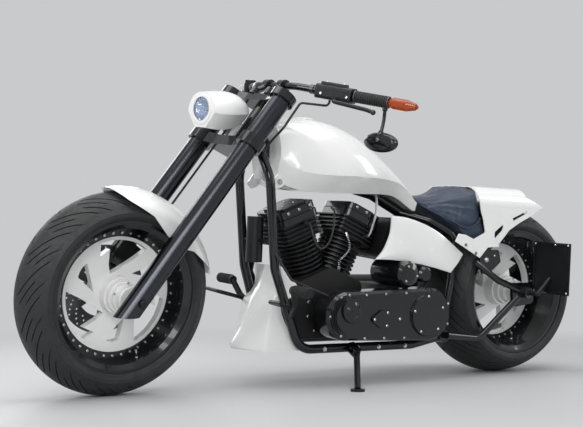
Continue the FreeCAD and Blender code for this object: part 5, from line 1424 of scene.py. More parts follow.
@dataclass(frozen=True, kw_only=True)
class Disc(Assembly):
    """Drilled brake disc on a slotted carrier."""

    node: str
    hub: Vector
    offset: float
    outer: float = 146.0
    inner: float = 44.3
    thickness: float = 5.0
    drilling: Profile = ((107, 0), (117, 0.33), (127, 0.66), (137, 1))
    drilled: int = 20
    arms: int = 6

    def build(self) -> None:
        """Makes the disc in place of its plain ring."""
        holes = [circle(self.inner, 48)]
        for reach, shift in self.drilling:
            for index in range(self.drilled):
                turn = 2.0 * math.pi * (index + shift) / self.drilled
                holes.append(circle(3.4, 8, (reach * math.cos(turn), reach * math.sin(turn))))
        for index in range(self.arms):
            slot = []
            for radius, low, high in ((64.0, -0.34, 0.34), (90.0, 0.38, -0.38)):
                for step in range(6):
                    turn = 2.0 * math.pi * index / self.arms + low + (high - low) * step / 5
                    slot.append((radius * math.cos(turn), radius * math.sin(turn)))
            holes.append(slot)
        frame = facing(self.hub + Y_AXIS * self.offset, Y_AXIS)
        form = Form().plate(frame, circle(self.outer, 96), -self.thickness / 2, self.thickness / 2, holes)
        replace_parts(self.piece(self.node + "_drilled", form, "dark_steel"), self.node)


@dataclass(frozen=True, kw_only=True)
class WheelTrim(Assembly):
    """Rings of screws and the valve of one wheel."""

    name: str
    hub: Vector
    bolts: int = 40
    bolt_ring: float = 198.0
    web: float = 15.0
    barrel: float = 217.5

    def build(self) -> None:
        """Adds the screws and the valve."""
        for side in (1, -1):
            for index in range(self.bolts):
                spot = around(self.hub, self.bolt_ring, 360.0 * index / self.bolts)
                spot += Y_AXIS * (side * self.web)
                self.stud(Screw.CAP, spot, Y_AXIS * side, 4.4)
            for index in range(5):
                spot = around(self.hub, 48.0, 72.0 * index + 18.0)
                self.screw(Screw.DOME, self.name + "_wheel_centre", spot, Y_AXIS * side, 4.2, "ground_steel")
        root = around(self.hub, self.barrel + 3.0, 250.0) + Y_AXIS * 40.0
        tip = around(self.hub, self.barrel - 32.0, 250.0) + Y_AXIS * 52.0
        stem = [(5, 0), (5, 7), (3.2, 9), (3.2, 22), (4.4, 22.5), (4.4, 33), (3.4, 35)]
        self.piece(self.name + "_valve", Form().lathe(facing(root, tip - root), stem, 14), "bright_steel")


@dataclass(frozen=True)
class ForkTrim(Assembly):
    """Leg plugs, stem nut, pinch screws and axle ends."""

    body: Body = Body.FORK
    leg_radius: float = 34.5
    clamp_grip: float = 44.5
    leg_top: float = 845.0
    stem_top: float = 856.0

    def build(self) -> None:
        """Adds the pieces to the fork."""
        plugs = Form()
        for side in (1, -1):
            frame = facing(on_fork(AXLE_LEAD, side * LEG_Y, self.leg_top - 1.0), STEER_UP, STEER_AHEAD)
            plugs.lathe(frame, [(33.6, 0), (33.6, 5), (31, 8.5), (17, 9.5), (15, 4.5)], 40)
        self.piece("fork_leg_plugs", plugs, "gloss_black", 0.6)
        frame = facing(on_fork(0.0, 0.0, self.stem_top - 9.0), STEER_UP, STEER_AHEAD)
        nut = Form().lathe(frame, [(19, 0), (19, 9), (16, 13), (9, 15)], 6)
        self.piece("steering_stem_nut", nut, "dark_steel", 0.8)
        back = -STEER_AHEAD
        for side in (1, -1):
            for up in (LOWER_CLAMP + 11.0, LOWER_CLAMP + 29.0, UPPER_CLAMP + 14.0):
                spot = on_fork(AXLE_LEAD - self.clamp_grip + 0.6, side * LEG_Y, up)
                self.stud(Screw.CAP, spot, back, 5.0, "dark_steel")
            end = FRONT_HUB + Y_AXIS * (side * (LEG_Y + self.leg_radius - 0.4))
            self.stud(Screw.HEX, end, Y_AXIS * side, 13.0, "satin_black")
            for up in (26.0, 40.0):
                spot = on_fork(AXLE_LEAD - self.leg_radius + 0.4, side * LEG_Y, up)
                self.stud(Screw.CAP, spot, back, 4.5, "dark_steel")


@dataclass(frozen=True)
class LampInside(Assembly):
    """Reflector, projector lenses and bezel behind the headlight's glass."""

    body: Body = Body.FORK
    face: float = 1366.0
    level: float = 901.3
    arch: Profile = (
        (-55, 36), (-52, 54), (-44, 70), (-26, 81), (0, 85), (26, 81), (44, 70), (52, 54), (55, 36),
        (46, 18), (31, 4), (0, -4), (-31, 4), (-46, 18),
    )
    border: Profile = (
        (-61, 36), (-53, 66), (-31, 86), (0, 92), (31, 86), (53, 66), (61, 36), (39, 1), (0, -12), (-39, 1),
    )

    def ring(self, depth: float, share: float) -> list[Vector]:
        """The arch at a depth, drawn in towards its middle."""
        x, middle = self.face - depth, self.level + 40.0
        return [Vector((x, y * share, middle + (z - 40.0) * share)) for y, z in self.arch]

    def bezel(self) -> Form:
        """White border with a smooth opening, round above and tapered below."""
        corners = [Vector((y, z + self.level, 0.0)) for y, z in (*self.border, self.border[0])]
        rim = [(point.x, point.y) for point in smooth_line(corners, 5)[:-1]]
        opening = []
        for across, up in circle(1.0, 56):
            wide = 48.0 * across * (1.0 if up > 0 else 1.0 - 0.22 * up * up)
            opening.append((wide, self.level + 37.0 + up * (43.0 if up > 0 else 37.0)))
        return Form().plate(facing((self.face + 10.0, 0.0, 0.0), X_AXIS), rim, 0.0, 3.2, [opening])

    def build(self) -> None:
        """Adds the lamp's inside to the fork."""
        sheet = (
            (0, 0.93), (9, 0.86), (20, 0.66), (29, 0.36), (30.5, 0.1), (31.2, 0.1), (31.2, 0.9), (0, 0.955),
            (0, 0.93),
        )
        bowl = Form().rows([self.ring(depth, share) for depth, share in sheet], capped=False)
        self.piece("headlight_reflector", bowl, "reflector_silver")
        self.piece("headlight_bezel", self.bezel(), "pearl_white", 1.0)
        lenses, collars = Form(), Form()
        for up, radius in ((56.0, 21.0), (16.0, 14.0)):
            frame = facing((self.face - 26.0, 0.0, self.level + up), X_AXIS)
            turns = [step * math.pi / 16.0 for step in range(8)]
            dome = [(radius * math.cos(turn), 9.0 + radius * 0.52 * math.sin(turn)) for turn in turns]
            lenses.lathe(frame, [(radius, 0.0), *dome, (0.8, 9.0 + radius * 0.52)], 28)
            collar = ((0.6, 0), (0.6, 11), (2, 12), (4, 10), (4.5, 0))
            collars.lathe(frame, [(radius + more, height) for more, height in collar], 28)
        self.piece("headlight_projectors", lenses, "bulb_blue")
        self.piece("headlight_collars", collars, "bright_steel")
        fins = Form()
        for side in (1, -1):
            for step in range(5):
                up = 8.0 + 14.0 * step
                wide = 45.0 if step > 1 else 30.0 + 9.0 * step
                rows = []
                for near, far in ((wide, wide - 14.0), (wide - 16.0, wide - 24.0)):
                    corners = ((4, near, 2), (4, near, 0), (22, far, 0), (22, far, 2))
                    level = self.level + up
                    rows.append([Vector((self.face - x, side * y, level + z)) for x, y, z in corners])
                fins.rows(rows)
        self.piece("headlight_facets", fins, "reflector_silver")


@dataclass(frozen=True)
class SideCovers(Assembly):
    """Two smooth white covers beside the oil tank, each a crowned shell with a turned edge."""

    outline: Profile = (
        (661, 613), (606, 610), (549, 599), (482, 578), (422, 550), (366, 514), (314, 479), (335, 448),
        (372, 408), (444, 425), (521, 439), (596, 449), (661, 454), (724, 455), (694, 486), (677, 516),
        (665, 548), (661, 580),
    )
    corners: tuple[int, ...] = (0, 6, 8, 13)
    middle: tuple[float, float] = (520.0, 512.0)
    inner: float = 152.0
    outer: float = 160.0
    shape: Profile = ((0, -3), (1.2, -0.8), (4, 0), (16, 1.6), (40, 3.2), (80, 4.4))

    def loop(self) -> list[Vector]:
        """The outline as a fine line with four crisp corners."""
        fine: list[Vector] = []
        marks = [*self.corners, len(self.outline)]
        for start, end in zip(marks, marks[1:]):
            count = len(self.outline)
            run = [Vector((*self.outline[index % count], 0.0)) for index in range(start, end + 1)]
            fine += smooth_line(run, 6)[:-1]
        return fine

    def build(self) -> None:
        """Makes both covers in place of their plain plates."""
        line = self.loop()
        middle = Vector((*self.middle, 0.0))
        rings = [(7.0, self.inner), (0.0, self.inner)]
        rings += [(inset, self.outer + out) for inset, out in self.shape]
        form = Form()
        for side in (1, -1):
            rows = []
            for inset, y in rings:
                row = []
                for point in line:
                    inwards = middle - point
                    place = point + inwards * min(inset / inwards.length, 0.92)
                    row.append(Vector((place.x, side * y, place.y)))
                rows.append(row)
            form.rows(rows)
        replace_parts(self.piece("side_cover_shells", form, "pearl_white"), "side_covers")


@dataclass(frozen=True)
class Spoiler(Assembly):
    """Smooth white scoop under the front of the frame, open at its back."""

    levels: tuple[tuple[float, float, float], ...] = (
        (134, 1205, 1000), (150, 1208, 992), (206, 1172, 1044), (290, 1138, 1076), (326, 1122, 1014),
        (356, 1104, 1010), (392, 1092, 1042), (423, 1084, 1068),
    )
    wall: float = 3.0

    def section(self, z: float, front: float, back: float) -> list[Vector]:
        """Closed outline of the sheet at one height, wrapped round the nose.

        Args:
            z: the height.
            front: machine x of the nose.
            back: machine x of the open edges.

        Returns:
            The outline.
        """
        half = 90.2 + (415.0 - z) * 0.0654
        deep = front - back
        sides: list[list[Vector]] = []
        for inset in (0.0, self.wall):
            wide = half - inset
            line = [
                (back, wide), (front - deep * 0.46, wide), (front - deep * 0.3, wide * 0.93),
                (front - deep * 0.12 - inset, wide * 0.48), (front - inset, 0.0),
            ]
            run = line + [(x, -y) for x, y in reversed(line[:-1])]
            sides.append(smooth_line([Vector((x, y, z)) for x, y in run], 3))
        return sides[0] + sides[1][::-1]

    def build(self) -> None:
        """Makes the scoop in place of its plain folded sheet."""
        fine = smooth_line([Vector(level) for level in self.levels], 5)
        form = Form().rows([self.section(*point) for point in fine])
        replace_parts(self.piece("spoiler_shell", form, "pearl_white"), "chin_spoiler")


@dataclass(frozen=True)
class BarTrim(Assembly):
    """Grip ribs, mirrors, lever ends, switches and screws of the handlebar."""

    body: Body = Body.FORK
    grip_start: float = 225.0
    grip_end: float = 350.0
    mirror_reach: float = 336.0
    mirror_drop: float = 132.0
    mirror_shape: tuple[tuple[float, float, float], ...] = (
        (-7, 74, 30), (-8.6, 76, 31.6), (-8.6, 77, 32.5), (-4, 77.4, 32.9), (1.5, 76.6, 32.2),
        (5.5, 72, 29), (8.6, 63, 24), (10.8, 50, 18), (12.4, 32, 11), (13, 12, 4), (13.1, 0.6, 0.3),
    )

    def mirror(self, shells: Form, glass: Form, side: int) -> Vector:
        """Adds one mirror with its stalk.

        Args:
            shells: takes the shell, stalk and joints.
            glass: takes the glass.
            side: 1 for the left and -1 for the right.

        Returns:
            The mirror's middle.
        """
        hanger = bar_point(self.mirror_reach, side)
        middle = hanger + Vector((8.0, 0.0, -self.mirror_drop))
        glass.plate(facing(middle - X_AXIS * 8.0, -X_AXIS), oval(70.0, 27.0, 48), -0.5, 1.0)
        rows = []
        for ahead, wide, tall in self.mirror_shape:
            rows.append([middle + Vector((ahead, y, z)) for y, z in oval(wide, tall, 56)])
        shells.rows(rows)
        shells.tube([hanger - Z_AXIS * 18.0, hanger - Z_AXIS * 60.0, middle + Z_AXIS * 26.0], 6.0, 16, 3)
        foot = [(9.5, 0), (9.5, 10), (7, 14), (6, 15)]
        shells.lathe(facing(middle + Z_AXIS * 24.0, Z_AXIS), foot, 20)
        clamp = [(6.5, 0), (9.5, 3), (9.5, 12.6), (8, 13.6)]
        shells.lathe(facing(hanger - Z_AXIS * 30.0, Z_AXIS), clamp, 20)
        return middle

    def build(self) -> None:
        """Adds the pieces to both ends of the bar."""
        glass, ends, switches, collars, shells = Form(), Form(), Form(), Form(), Form()
        for side, name in ((1, "left"), (-1, "right")):
            grip = [bar_point(self.grip_start + 9.0, side), bar_point(self.grip_end - 7.0, side)]
            self.ribbed(f"grip_ribs_{name}", grip, "grip_rubber", 14, 0.0178, 0.0026)
            root = bar_point(0.0, side)
            outwards = (bar_point(1.0, side) - root).normalized()
            rings = ((self.grip_start - 1.0, 21, 6), (self.grip_end - 5.0, 20, 5), (58, 16, 16))
            for reach, radius, wide in rings:
                collar = [(radius - 1.5, 0), (radius, 1.5), (radius, wide - 1.5), (radius - 1.5, wide)]
                collars.lathe(facing(bar_point(reach, side), outwards), collar, 32)
            middle = self.mirror(shells, glass, side)
            tip = bar_point(self.grip_end - 2.0, side) + Vector((66.0, 0.0, -38.0))
            turns = [math.pi * step / 10.0 for step in range(11)]
            ball = [(9.0 * math.sin(turn) + 0.2, -9.0 * math.cos(turn)) for turn in turns]
            ends.lathe(facing(tip, outwards), ball, 16)
            control = f"hand_control_{name}"
            for reach in (150.0, 172.0, 194.0):
                spot = self.shop.land(control, self.body, bar_point(reach, side) - Z_AXIS * 2, -X_AXIS, 90.0)
                if spot:
                    switches.lathe(facing(spot, -X_AXIS), [(6.5, -1), (6.5, 2.5), (5, 4), (1, 4.4)], 16)
            for reach in (120.0, 182.0):
                self.screw(Screw.DOME, control, bar_point(reach, side), Z_AXIS, 4.0)
            across = Z_AXIS.cross(outwards).normalized() * side
            across = -across if across.x < 0 else across
            for reach in (112.0, 208.0):
                self.screw(Screw.CAP, control, bar_point(reach, side) - Z_AXIS * 8, across, 4.0)
            self.screw(Screw.HEX, "mirrors", middle + Vector((6.0, 0.0, 8.0)), X_AXIS, 6.0)
            for shift in (-9.0, 9.0):
                riser = Vector((root.x, side * 42.0 + shift, root.z))
                self.screw(Screw.CAP, "risers", riser, X_AXIS, 4.0, "dark_steel")
        self.piece("mirror_glasses", glass, "mirror_silver", 0.3)
        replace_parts(self.piece("mirror_shells", shells, "gloss_black"), "mirrors")
        self.piece("lever_ends", ends, "gloss_black")
        self.piece("switches", switches, "satin_black")
        self.piece("bar_collars", collars, "dark_steel", 0.4)


@dataclass(frozen=True)
class TankTrim(Assembly):
    """Flush filler cap and the bolts of the front lugs."""

    cap_x: float = 955.0
    cap_shape: Profile = (
        (34, 0), (34, 4), (32.5, 5.6), (28, 6.2), (27.4, 4.6), (24, 4.6), (22, 6.4), (8, 7.4), (0.8, 7.6),
    )

    def build(self) -> None:
        """Adds the cap on the crest and the bolts on the lugs."""
        spot = self.skin("fuel_tank", (self.cap_x, 0.0, 943.0), Z_AXIS)
        if spot:
            frame = facing(spot - Z_AXIS * 3.0, Z_AXIS, X_AXIS)
            self.piece("filler_cap", Form().lathe(frame, self.cap_shape, 48), "pearl_white")
        for side in (1, -1):
            self.screw(Screw.HEX, "fuel_tank", (1096.0, side * 90.0, 712.0), Y_AXIS * side, 8.5)


@dataclass(frozen=True)
class Saddle(Assembly):
    """Solo saddle: a filled hide that swells, with long soft folds and a piped edge."""

    stations: tuple[tuple[float, float, float, float], ...] = (
        (472, 61, 689, 664), (457, 74, 683, 650), (440, 85, 680, 640), (410, 101, 681, 620),
        (380, 116, 686, 602), (344, 134, 699, 580), (318, 144, 711, 560), (290, 150, 724, 549),
        (262, 156, 737, 560), (240, 159, 745, 580), (222, 160, 748, 596),
    )
    shape: Profile = (
        (0.80, 0.02), (0.95, 0.14), (1.0, 0.30), (0.985, 0.48), (0.92, 0.66), (0.80, 0.81), (0.62, 0.91),
        (0.40, 0.965), (0.18, 0.99), (0.0, 1.0),
    )
    rear_edge: Profile = ((219, 508), (214, 560), (226, 609), (241, 645), (251.7, 700), (251.7, 800))
    corner: Profile = (
        (330, 600), (300, 552), (262, 528), (232, 518), (217, 530), (212, 562), (216, 604), (232, 650),
        (262, 668), (300, 650),
    )
    shy: float = 2.0
    swell: float = 14.0
    voxel: float = 0.0055
    steps: int = 20

    def edge_at(self, z: float) -> float:
        """X of the fender's front edge at a height.

        Args:
            z: the height.

        Returns:
            The machine x.
        """
        for (x0, z0), (x1, z1) in zip(self.rear_edge, self.rear_edge[1:]):
            if z <= z1:
                return x0 + (x1 - x0) * (z - z0) / (z1 - z0)
        return self.rear_edge[-1][0]

    def section(self, x: float, half: float, top: float, bottom: float) -> list[Vector]:
        """Closed rounded section, fuller towards the fender, drawn in by the part that the pad swells.

        Args:
            x: the station.
            half: its half width.
            top: its crown height.
            bottom: its lower edge.

        Returns:
            The section's points.
        """
        rise = top - bottom
        fuller = 1.0 + min(max((330.0 - x) / 80.0, 0.0), 1.0) ** 1.5
        left = [(-share, level) for share, level in self.shape[:-1]]
        under = [(0.4, 0.0), (0.0, 0.0), (-0.4, 0.0)]
        row = []
        for share, level in (*left, *self.shape[::-1], *under):
            level = 1.0 - (1.0 - level) ** fuller if level > 0.3 else level
            z = bottom + self.shy * 0.4 + (rise - self.shy) * level
            y = (half - self.shy * 0.8) * share
            row.append(Vector((max(x, self.edge_at(z) + 1.2), y, z)))
        return row

    def filled(self, start: Mesh) -> Mesh:
        """Remeshes the pad and lets inner pressure round it.

        Args:
            start: the pad before it is filled, in world metres.

        Returns:
            The rounded mesh.
        """
        scene = bpy.context.scene
        holder = linked("saddle_start", start)
        remesh = holder.modifiers.new("even", "REMESH")
        remesh.mode = "VOXEL"
        remesh.voxel_size = self.voxel
        even = settled(holder)
        pad = linked("saddle_filling", even)
        held = pad.vertex_groups.new(name="held")
        held.add([vertex.index for vertex in even.vertices if vertex.normal.z < -0.75], 1.0, "REPLACE")
        cloth = pad.modifiers.new("filling", "CLOTH")
        settings = cloth.settings
        settings.quality = 5
        settings.mass = 0.25
        settings.tension_stiffness = 9.0
        settings.compression_stiffness = 9.0
        settings.bending_stiffness = 0.6
        settings.use_pressure = True
        settings.uniform_pressure_force = 4.0
        settings.effector_weights.gravity = 0.0
        settings.vertex_group_mass = held.name
        cloth.point_cache.frame_start = 1
        cloth.point_cache.frame_end = self.steps
        before = [vertex.co.copy() for vertex in even.vertices]
        for frame in range(1, self.steps + 1):
            scene.frame_set(frame)
        after = settled(pad)
        limit = self.swell * MILLIMETRE
        for vertex, rest in zip(after.vertices, before):
            move = vertex.co - rest
            if move.length > limit:
                vertex.co = rest + move * (limit / move.length)
        scene.frame_set(1)
        return after

    def folds(self, mesh: Mesh, matrix: Matrix) -> None:
        """Moves the hide into long folds that fan out from the nose, and keeps it off the fender.

        Args:
            mesh: the filled mesh, in world metres.
            matrix: machine millimetres to world metres.
        """
        back = matrix.inverted()
        normals = [vertex.normal.copy() for vertex in mesh.vertices]
        for vertex, normal in zip(mesh.vertices, normals):
            spot = back @ vertex.co
            away = 500.0 - spot.x
            fan = math.atan2(spot.z - 672.0, away + 20.0)
            side = math.copysign(1.0, spot.y)
            place = Vector((fan * 9.0 + side * 7.0, away * 0.0075, abs(spot.y) * 0.012))
            ridge = 1.0 - abs(noise.noise(place)) * 2.6
            fine = 1.0 - abs(noise.noise(Vector((fan * 21.0 + 3.0, away * 0.016, abs(spot.y) * 0.03)))) * 2.4
            cross = noise.noise(spot * 0.02)
            fade = min(1.0, max(0.0, (away - 25.0) / 70.0)) * min(1.0, max(0.0, (spot.z - 556.0) / 40.0))
            move = (ridge * 2.6 + fine * 1.1 + cross * 1.6 - 1.9) * fade
            vertex.co += normal * (move * MILLIMETRE)
            spot = back @ vertex.co
            nearest = self.edge_at(spot.z) + 0.8
            if spot.x < nearest:
                spot.x = nearest
                vertex.co = matrix @ spot
        mesh.update()

    def valances(self) -> Form:
        """The hide's lower corner on each side, between the pad and the fender's strut."""
        loop = smooth_line([Vector((x, z, 0.0)) for x, z in (*self.corner, self.corner[0])], 5)[:-1]
        middle = Vector((262.0, 596.0, 0.0))
        form = Form()
        for side in (1, -1):
            rows = []
            for share, out in ((0.12, -8.0), (0.0, -8.0), (0.0, -2.5), (0.05, 0.0), (0.2, 1.6), (0.55, 2.6)):
                row = []
                for point in loop:
                    place = point + (middle - point) * share
                    place.x = max(place.x, self.edge_at(place.y) + 0.8)
                    away = min(max((place.x - 222.0) / 90.0, 0.0), 1.0)
                    high = min(max((place.y - 560.0) / 100.0, 0.0), 1.0)
                    y = 157.0 + out - 20.0 * away**1.4 - 14.0 * high
                    row.append(Vector((place.x, side * y, place.y)))
                rows.append(row)
            form.rows(rows)
        return form

    def build(self) -> None:
        """Makes the saddle in place of its plain solid."""
        pad = Form().rows([self.section(*station) for station in self.stations])
        filled = self.filled(self.shop.mesh(pad, self.body))
        self.folds(filled, self.shop.stance.of(self.body))
        holder = linked("saddle_rough", filled)
        finer = holder.modifiers.new("finer", "SUBSURF")
        finer.levels = 1
        finer.render_levels = 1
        mesh = settled(holder)
        mesh.polygons.foreach_set("use_smooth", [True] * len(mesh.polygons))
        saddle = self.shop.finish(mesh, "saddle", self.body, "saddle_hide")
        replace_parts(saddle, "seat_pad")
        piping = Form()
        for side in (1, -1):
            path = []
            for x, half, top, bottom in self.stations[1:]:
                z = bottom + (top - bottom) * 0.16
                path.append(Vector((max(x, self.edge_at(z) + 4.0), side * (half - 2.6), z)))
            piping.tube(path, 2.6, 8, 4)
        self.piece("saddle_piping", piping, "saddle_hide")
        self.piece("saddle_valances", self.valances(), "saddle_hide")


@dataclass(frozen=True)
class EngineTrim(Assembly):
    """Spark leads, conduit, screws, turned faces, exhaust mouths and belt teeth."""

    front_lead: tuple[tuple[float, float, float], ...] = (
        (981, 84, 574), (980, 112, 568), (975, 128, 530), (960, 131, 499), (941, 131, 489), (921, 131, 499),
        (904, 130, 524), (888, 122, 566), (876, 106, 600), (862, 84, 620), (852, 50, 632),
    )
    rear_lead: tuple[tuple[float, float, float], ...] = (
        (724, 84, 530), (722, 104, 536), (714, 110, 560), (696, 104, 606), (683, 92, 648), (676, 80, 672),
        (672, 66, 698),
    )
    conduit: tuple[tuple[float, float, float], ...] = (
        (805, 88, 534), (798, 94, 506), (802, 96, 482), (823, 96, 459), (840, 96, 444), (838, 92, 420),
    )
    cover_reach: float = 395.0
    lid_screws: Profile = ((764, 249), (708, 272), (710, 226), (653, 249))
    rim_screws: Profile = (
        (872, 335), (800, 335), (715, 338), (625, 340), (800, 184), (715, 182), (625, 180), (425, 300),
        (422, 225), (947, 262), (905, 196), (905, 326),
    )
    gearbox_screws: Profile = ((435, 196), (435, 300), (560, 340), (640, 340), (686, 196), (686, 312))
    filter_middle: tuple[float, float] = (872.0, 560.0)
    pleats: int = 180
    pipe_left: float = -276.0
    pulley: tuple[float, float] = (500.0, 262.0)
    belt_line: float = 172.0
    belt_radii: tuple[float, float] = (45.6, 119.6)

    def leads(self) -> None:
        """Adds both spark leads with their boots, and the ribbed conduit in the vee."""
        self.piece("spark_lead_front", Form().tube(self.front_lead, 3.8, 10, 5), "line_rubber")
        self.piece("spark_lead_rear", Form().tube(self.rear_lead, 4.6, 10, 5), "braid_steel")
        boots = Form()
        plugs = ((self.front_lead[0], (980.5, 570)), (self.rear_lead[0], (722.5, 535)))
        for (x, _, z), (tip_x, tip_z) in plugs:
            foot = self.skin("cylinder_heads", (x, 90.0, z), Y_AXIS) or Vector((x, 80.0, z))
            frame = facing(foot - Y_AXIS * 4.0, Vector((tip_x, 112.0, tip_z)) - foot)
            boots.lathe(frame, [(9, 0), (9, 12), (7, 15), (7.5, 26), (5.4, 31)], 18)
        self.piece("spark_boots", boots, "grip_rubber")
        line = smooth_line([Vector(point) for point in self.conduit], 8)
        self.piece("conduit_core", Form().tube(self.conduit, 4.2, 10, 6), "satin_black")
        self.ribbed("conduit_rings", line, "bright_steel", 22, 0.0049, 0.0013)
        nuts = Form()
        looks = (Vector((0.2, -0.3, 1)), Vector((0, -0.4, -1)))
        for point, look in zip((self.conduit[0], self.conduit[-1]), looks):
            nuts.lathe(facing(Vector(point) - look * 4.0, look), [(7, 0), (7, 16), (5, 19)], 6)
        self.piece("conduit_nuts", nuts, "bright_steel", 0.5)

    def screws(self) -> None:
        """Adds the screws of the covers on both sides."""
        for lean in (22.5, -22.5):
            up = Vector((math.sin(math.radians(lean)), 0.0, math.cos(math.radians(lean))))
            ahead = Vector((up.z, 0.0, -up.x))
            top = CRANK + up * self.cover_reach
            for side in (1, -1):
                for across in (-46.0, 0.0, 46.0):
                    spot = top - up * 17.0 + ahead * across + Y_AXIS * side * 60.0
                    self.screw(Screw.CAP, "rocker_covers", spot, Y_AXIS * side, 5.2)
            for across in (-24.0, 24.0):
                for left in (-30.0, 30.0):
                    self.screw(Screw.DOME, "rocker_covers", top + ahead * across + Y_AXIS * left, up, 4.6)
        for degrees in (-59.0, 13.0, 85.0, 157.0, 229.0):
            spot = around((520.0, 220.0, 260.0), 68.0, degrees)
            self.screw(Screw.DOME, "primary_cover", spot, Y_AXIS, 5.4)
        for x, z in self.lid_screws:
            self.screw(Screw.DOME, "primary_cover", (x, 220.0, z), Y_AXIS, 5.4)
        for x, z in self.rim_screws:
            self.screw(Screw.CAP, "primary_cover", (x, 205.0, z), Y_AXIS, 4.6)
        for x, z in ((915.0, 140.0), (773.0, 140.0), (680.0, 139.0), (560.0, 139.0)):
            self.screw(Screw.HEX, "frame_side_left", (x, 141.0, z), Y_AXIS, 6.5)
            self.screw(Screw.HEX, "frame_side_right", (x, -141.0, z), -Y_AXIS, 6.5)
        for degrees in range(20, 380, 60):
            self.screw(Screw.DOME, "cam_cover", around((890.0, -137.0, 280.0), 72.0, degrees), -Y_AXIS, 5.0)
        for x, z in self.gearbox_screws:
            self.screw(Screw.CAP, "gearbox", (x, -95.0, z), -Y_AXIS, 5.0)
        for degrees in (70.0, 190.0, 310.0):
            spot = around((596.0, 200.0, 404.6), 31.0, degrees)
            self.screw(Screw.CAP, "starter_motor", spot, Y_AXIS, 4.4)
        for x, z in ((960.0, 300.0), (960.0, 250.0), (930.0, 200.0)):
            self.screw(Screw.HEX, "crankcase", (x, 96.0, z), Y_AXIS, 5.5)
            self.screw(Screw.HEX, "crankcase", (x, -96.0, z), -Y_AXIS, 5.5)

    def covers(self) -> None:
        """Adds the turned faces of the air cleaner and the cam cover."""
        x, z = self.filter_middle
        face = self.skin("air_cleaner", (x, -204.0, z), -Y_AXIS)
        if face:
            profile = [
                (84, 0), (84, 3), (79, 6), (66, 6.5), (64, 3.5), (42, 3.5), (40, 8.5), (30, 12), (12, 14),
                (0.8, 14.4),
            ]
            lid = Form().lathe(facing(face + Y_AXIS, -Y_AXIS), profile, 64)
            self.piece("air_cleaner_face", lid, "gloss_black")
            for index in range(5):
                self.stud(Screw.DOME, around((x, face.y - 2.5, z), 53.0, 72.0 * index + 18.0), -Y_AXIS, 5.0)
        rows = []
        for level in (160.0, 194.0):
            row = []
            for index in range(self.pleats):
                turn = 2.0 * math.pi * index / self.pleats
                reach = 85.4 if index % 2 else 83.2
                row.append(Vector((x + reach * math.cos(turn), -level, z + reach * math.sin(turn))))
            rows.append(row)
        self.piece("air_cleaner_pleats", Form().rows(rows), "satin_black")
        face = self.skin("cam_cover", (890.0, -137.0, 280.0), -Y_AXIS)
        if face:
            profile = [(56, 0), (54, 4), (34, 5), (31, 8), (10, 10), (0.8, 10.2)]
            lid = Form().lathe(facing(face + Y_AXIS, -Y_AXIS), profile, 48)
            self.piece("cam_cover_face", lid, "gloss_black")

    def exhausts(self) -> None:
        """Adds the rolled mouths and the clamps of both pipes, and a near-black disc just inside each mouth:
        painted shade of the deep bore, over the bore's real soot.
        """
        mouths, shaded_bores, clamps = Form(), Form(), Form()
        lip = [(37.2, 0), (37.8, 6), (36.6, 9), (33, 9), (31.6, 6), (31, 0.5)]
        for end, start, level in ((40.0, 560.0, 236.0), (100.0, 620.0, 330.0)):
            frame = facing((end + 2.0, self.pipe_left, level), -X_AXIS)
            mouths.lathe(frame, lip, 40)
            # Near-black disc just inside the mouth: painted shade of the deep bore, with the bore's real
            # soot.
            shaded_bores.lathe(frame, [(31.4, 1), (31.4, 2.6), (0.8, 2.7)], 40)
            for shift, radius in ((-26.0, 37.4), (130.0, 22.4)):
                frame = facing((start + shift, self.pipe_left, level), X_AXIS)
                clamps.lathe(frame, [(radius, 0), (radius + 2.2, 1), (radius + 2.2, 15), (radius, 16)], 40)
        self.piece("exhaust_mouths", mouths, "dark_steel")
        self.piece("exhaust_bores", shaded_bores, "soot_and_painted_shade")
        self.piece("exhaust_clamps", clamps, "ground_steel")

    def belt(self) -> None:
        """Adds the teeth on the inner side of the drive belt."""
        front = Vector((self.pulley[0], 0.0, self.pulley[1]))
        small, big = self.belt_radii
        span = front - REAR_HUB
        heading = math.atan2(span.z, span.x)
        spread = math.acos((big - small) / span.length)
        route = []
        for centre, reach, low, high in (
            (front, small, heading + spread, heading - spread),
            (REAR_HUB, big, heading - spread, heading + spread - 2.0 * math.pi),
        ):
            for step in range(33):
                turn = low + (high - low) * step / 32
                out = Vector((math.cos(turn), 0.0, math.sin(turn)))
                route.append(centre + out * reach - Y_AXIS * self.belt_line)
        line = self.shop.curve(route, self.body, closed=True)
        across = (self.shop.stance.chassis.to_3x3() @ Y_AXIS).normalized()
        tooth = Vector((0.0055, 0.0176, 0.0028))
        teeth = self.shop.trees.teeth
        rule = {"Count": 132, "Size": tooth, "Across": across}
        self.shop.grown("belt_teeth", line, teeth, self.body, "belt_rubber", **rule)

    def build(self) -> None:
        """Adds everything to the engine."""
        self.leads()
        self.screws()
        self.covers()
        self.exhausts()
        self.belt()


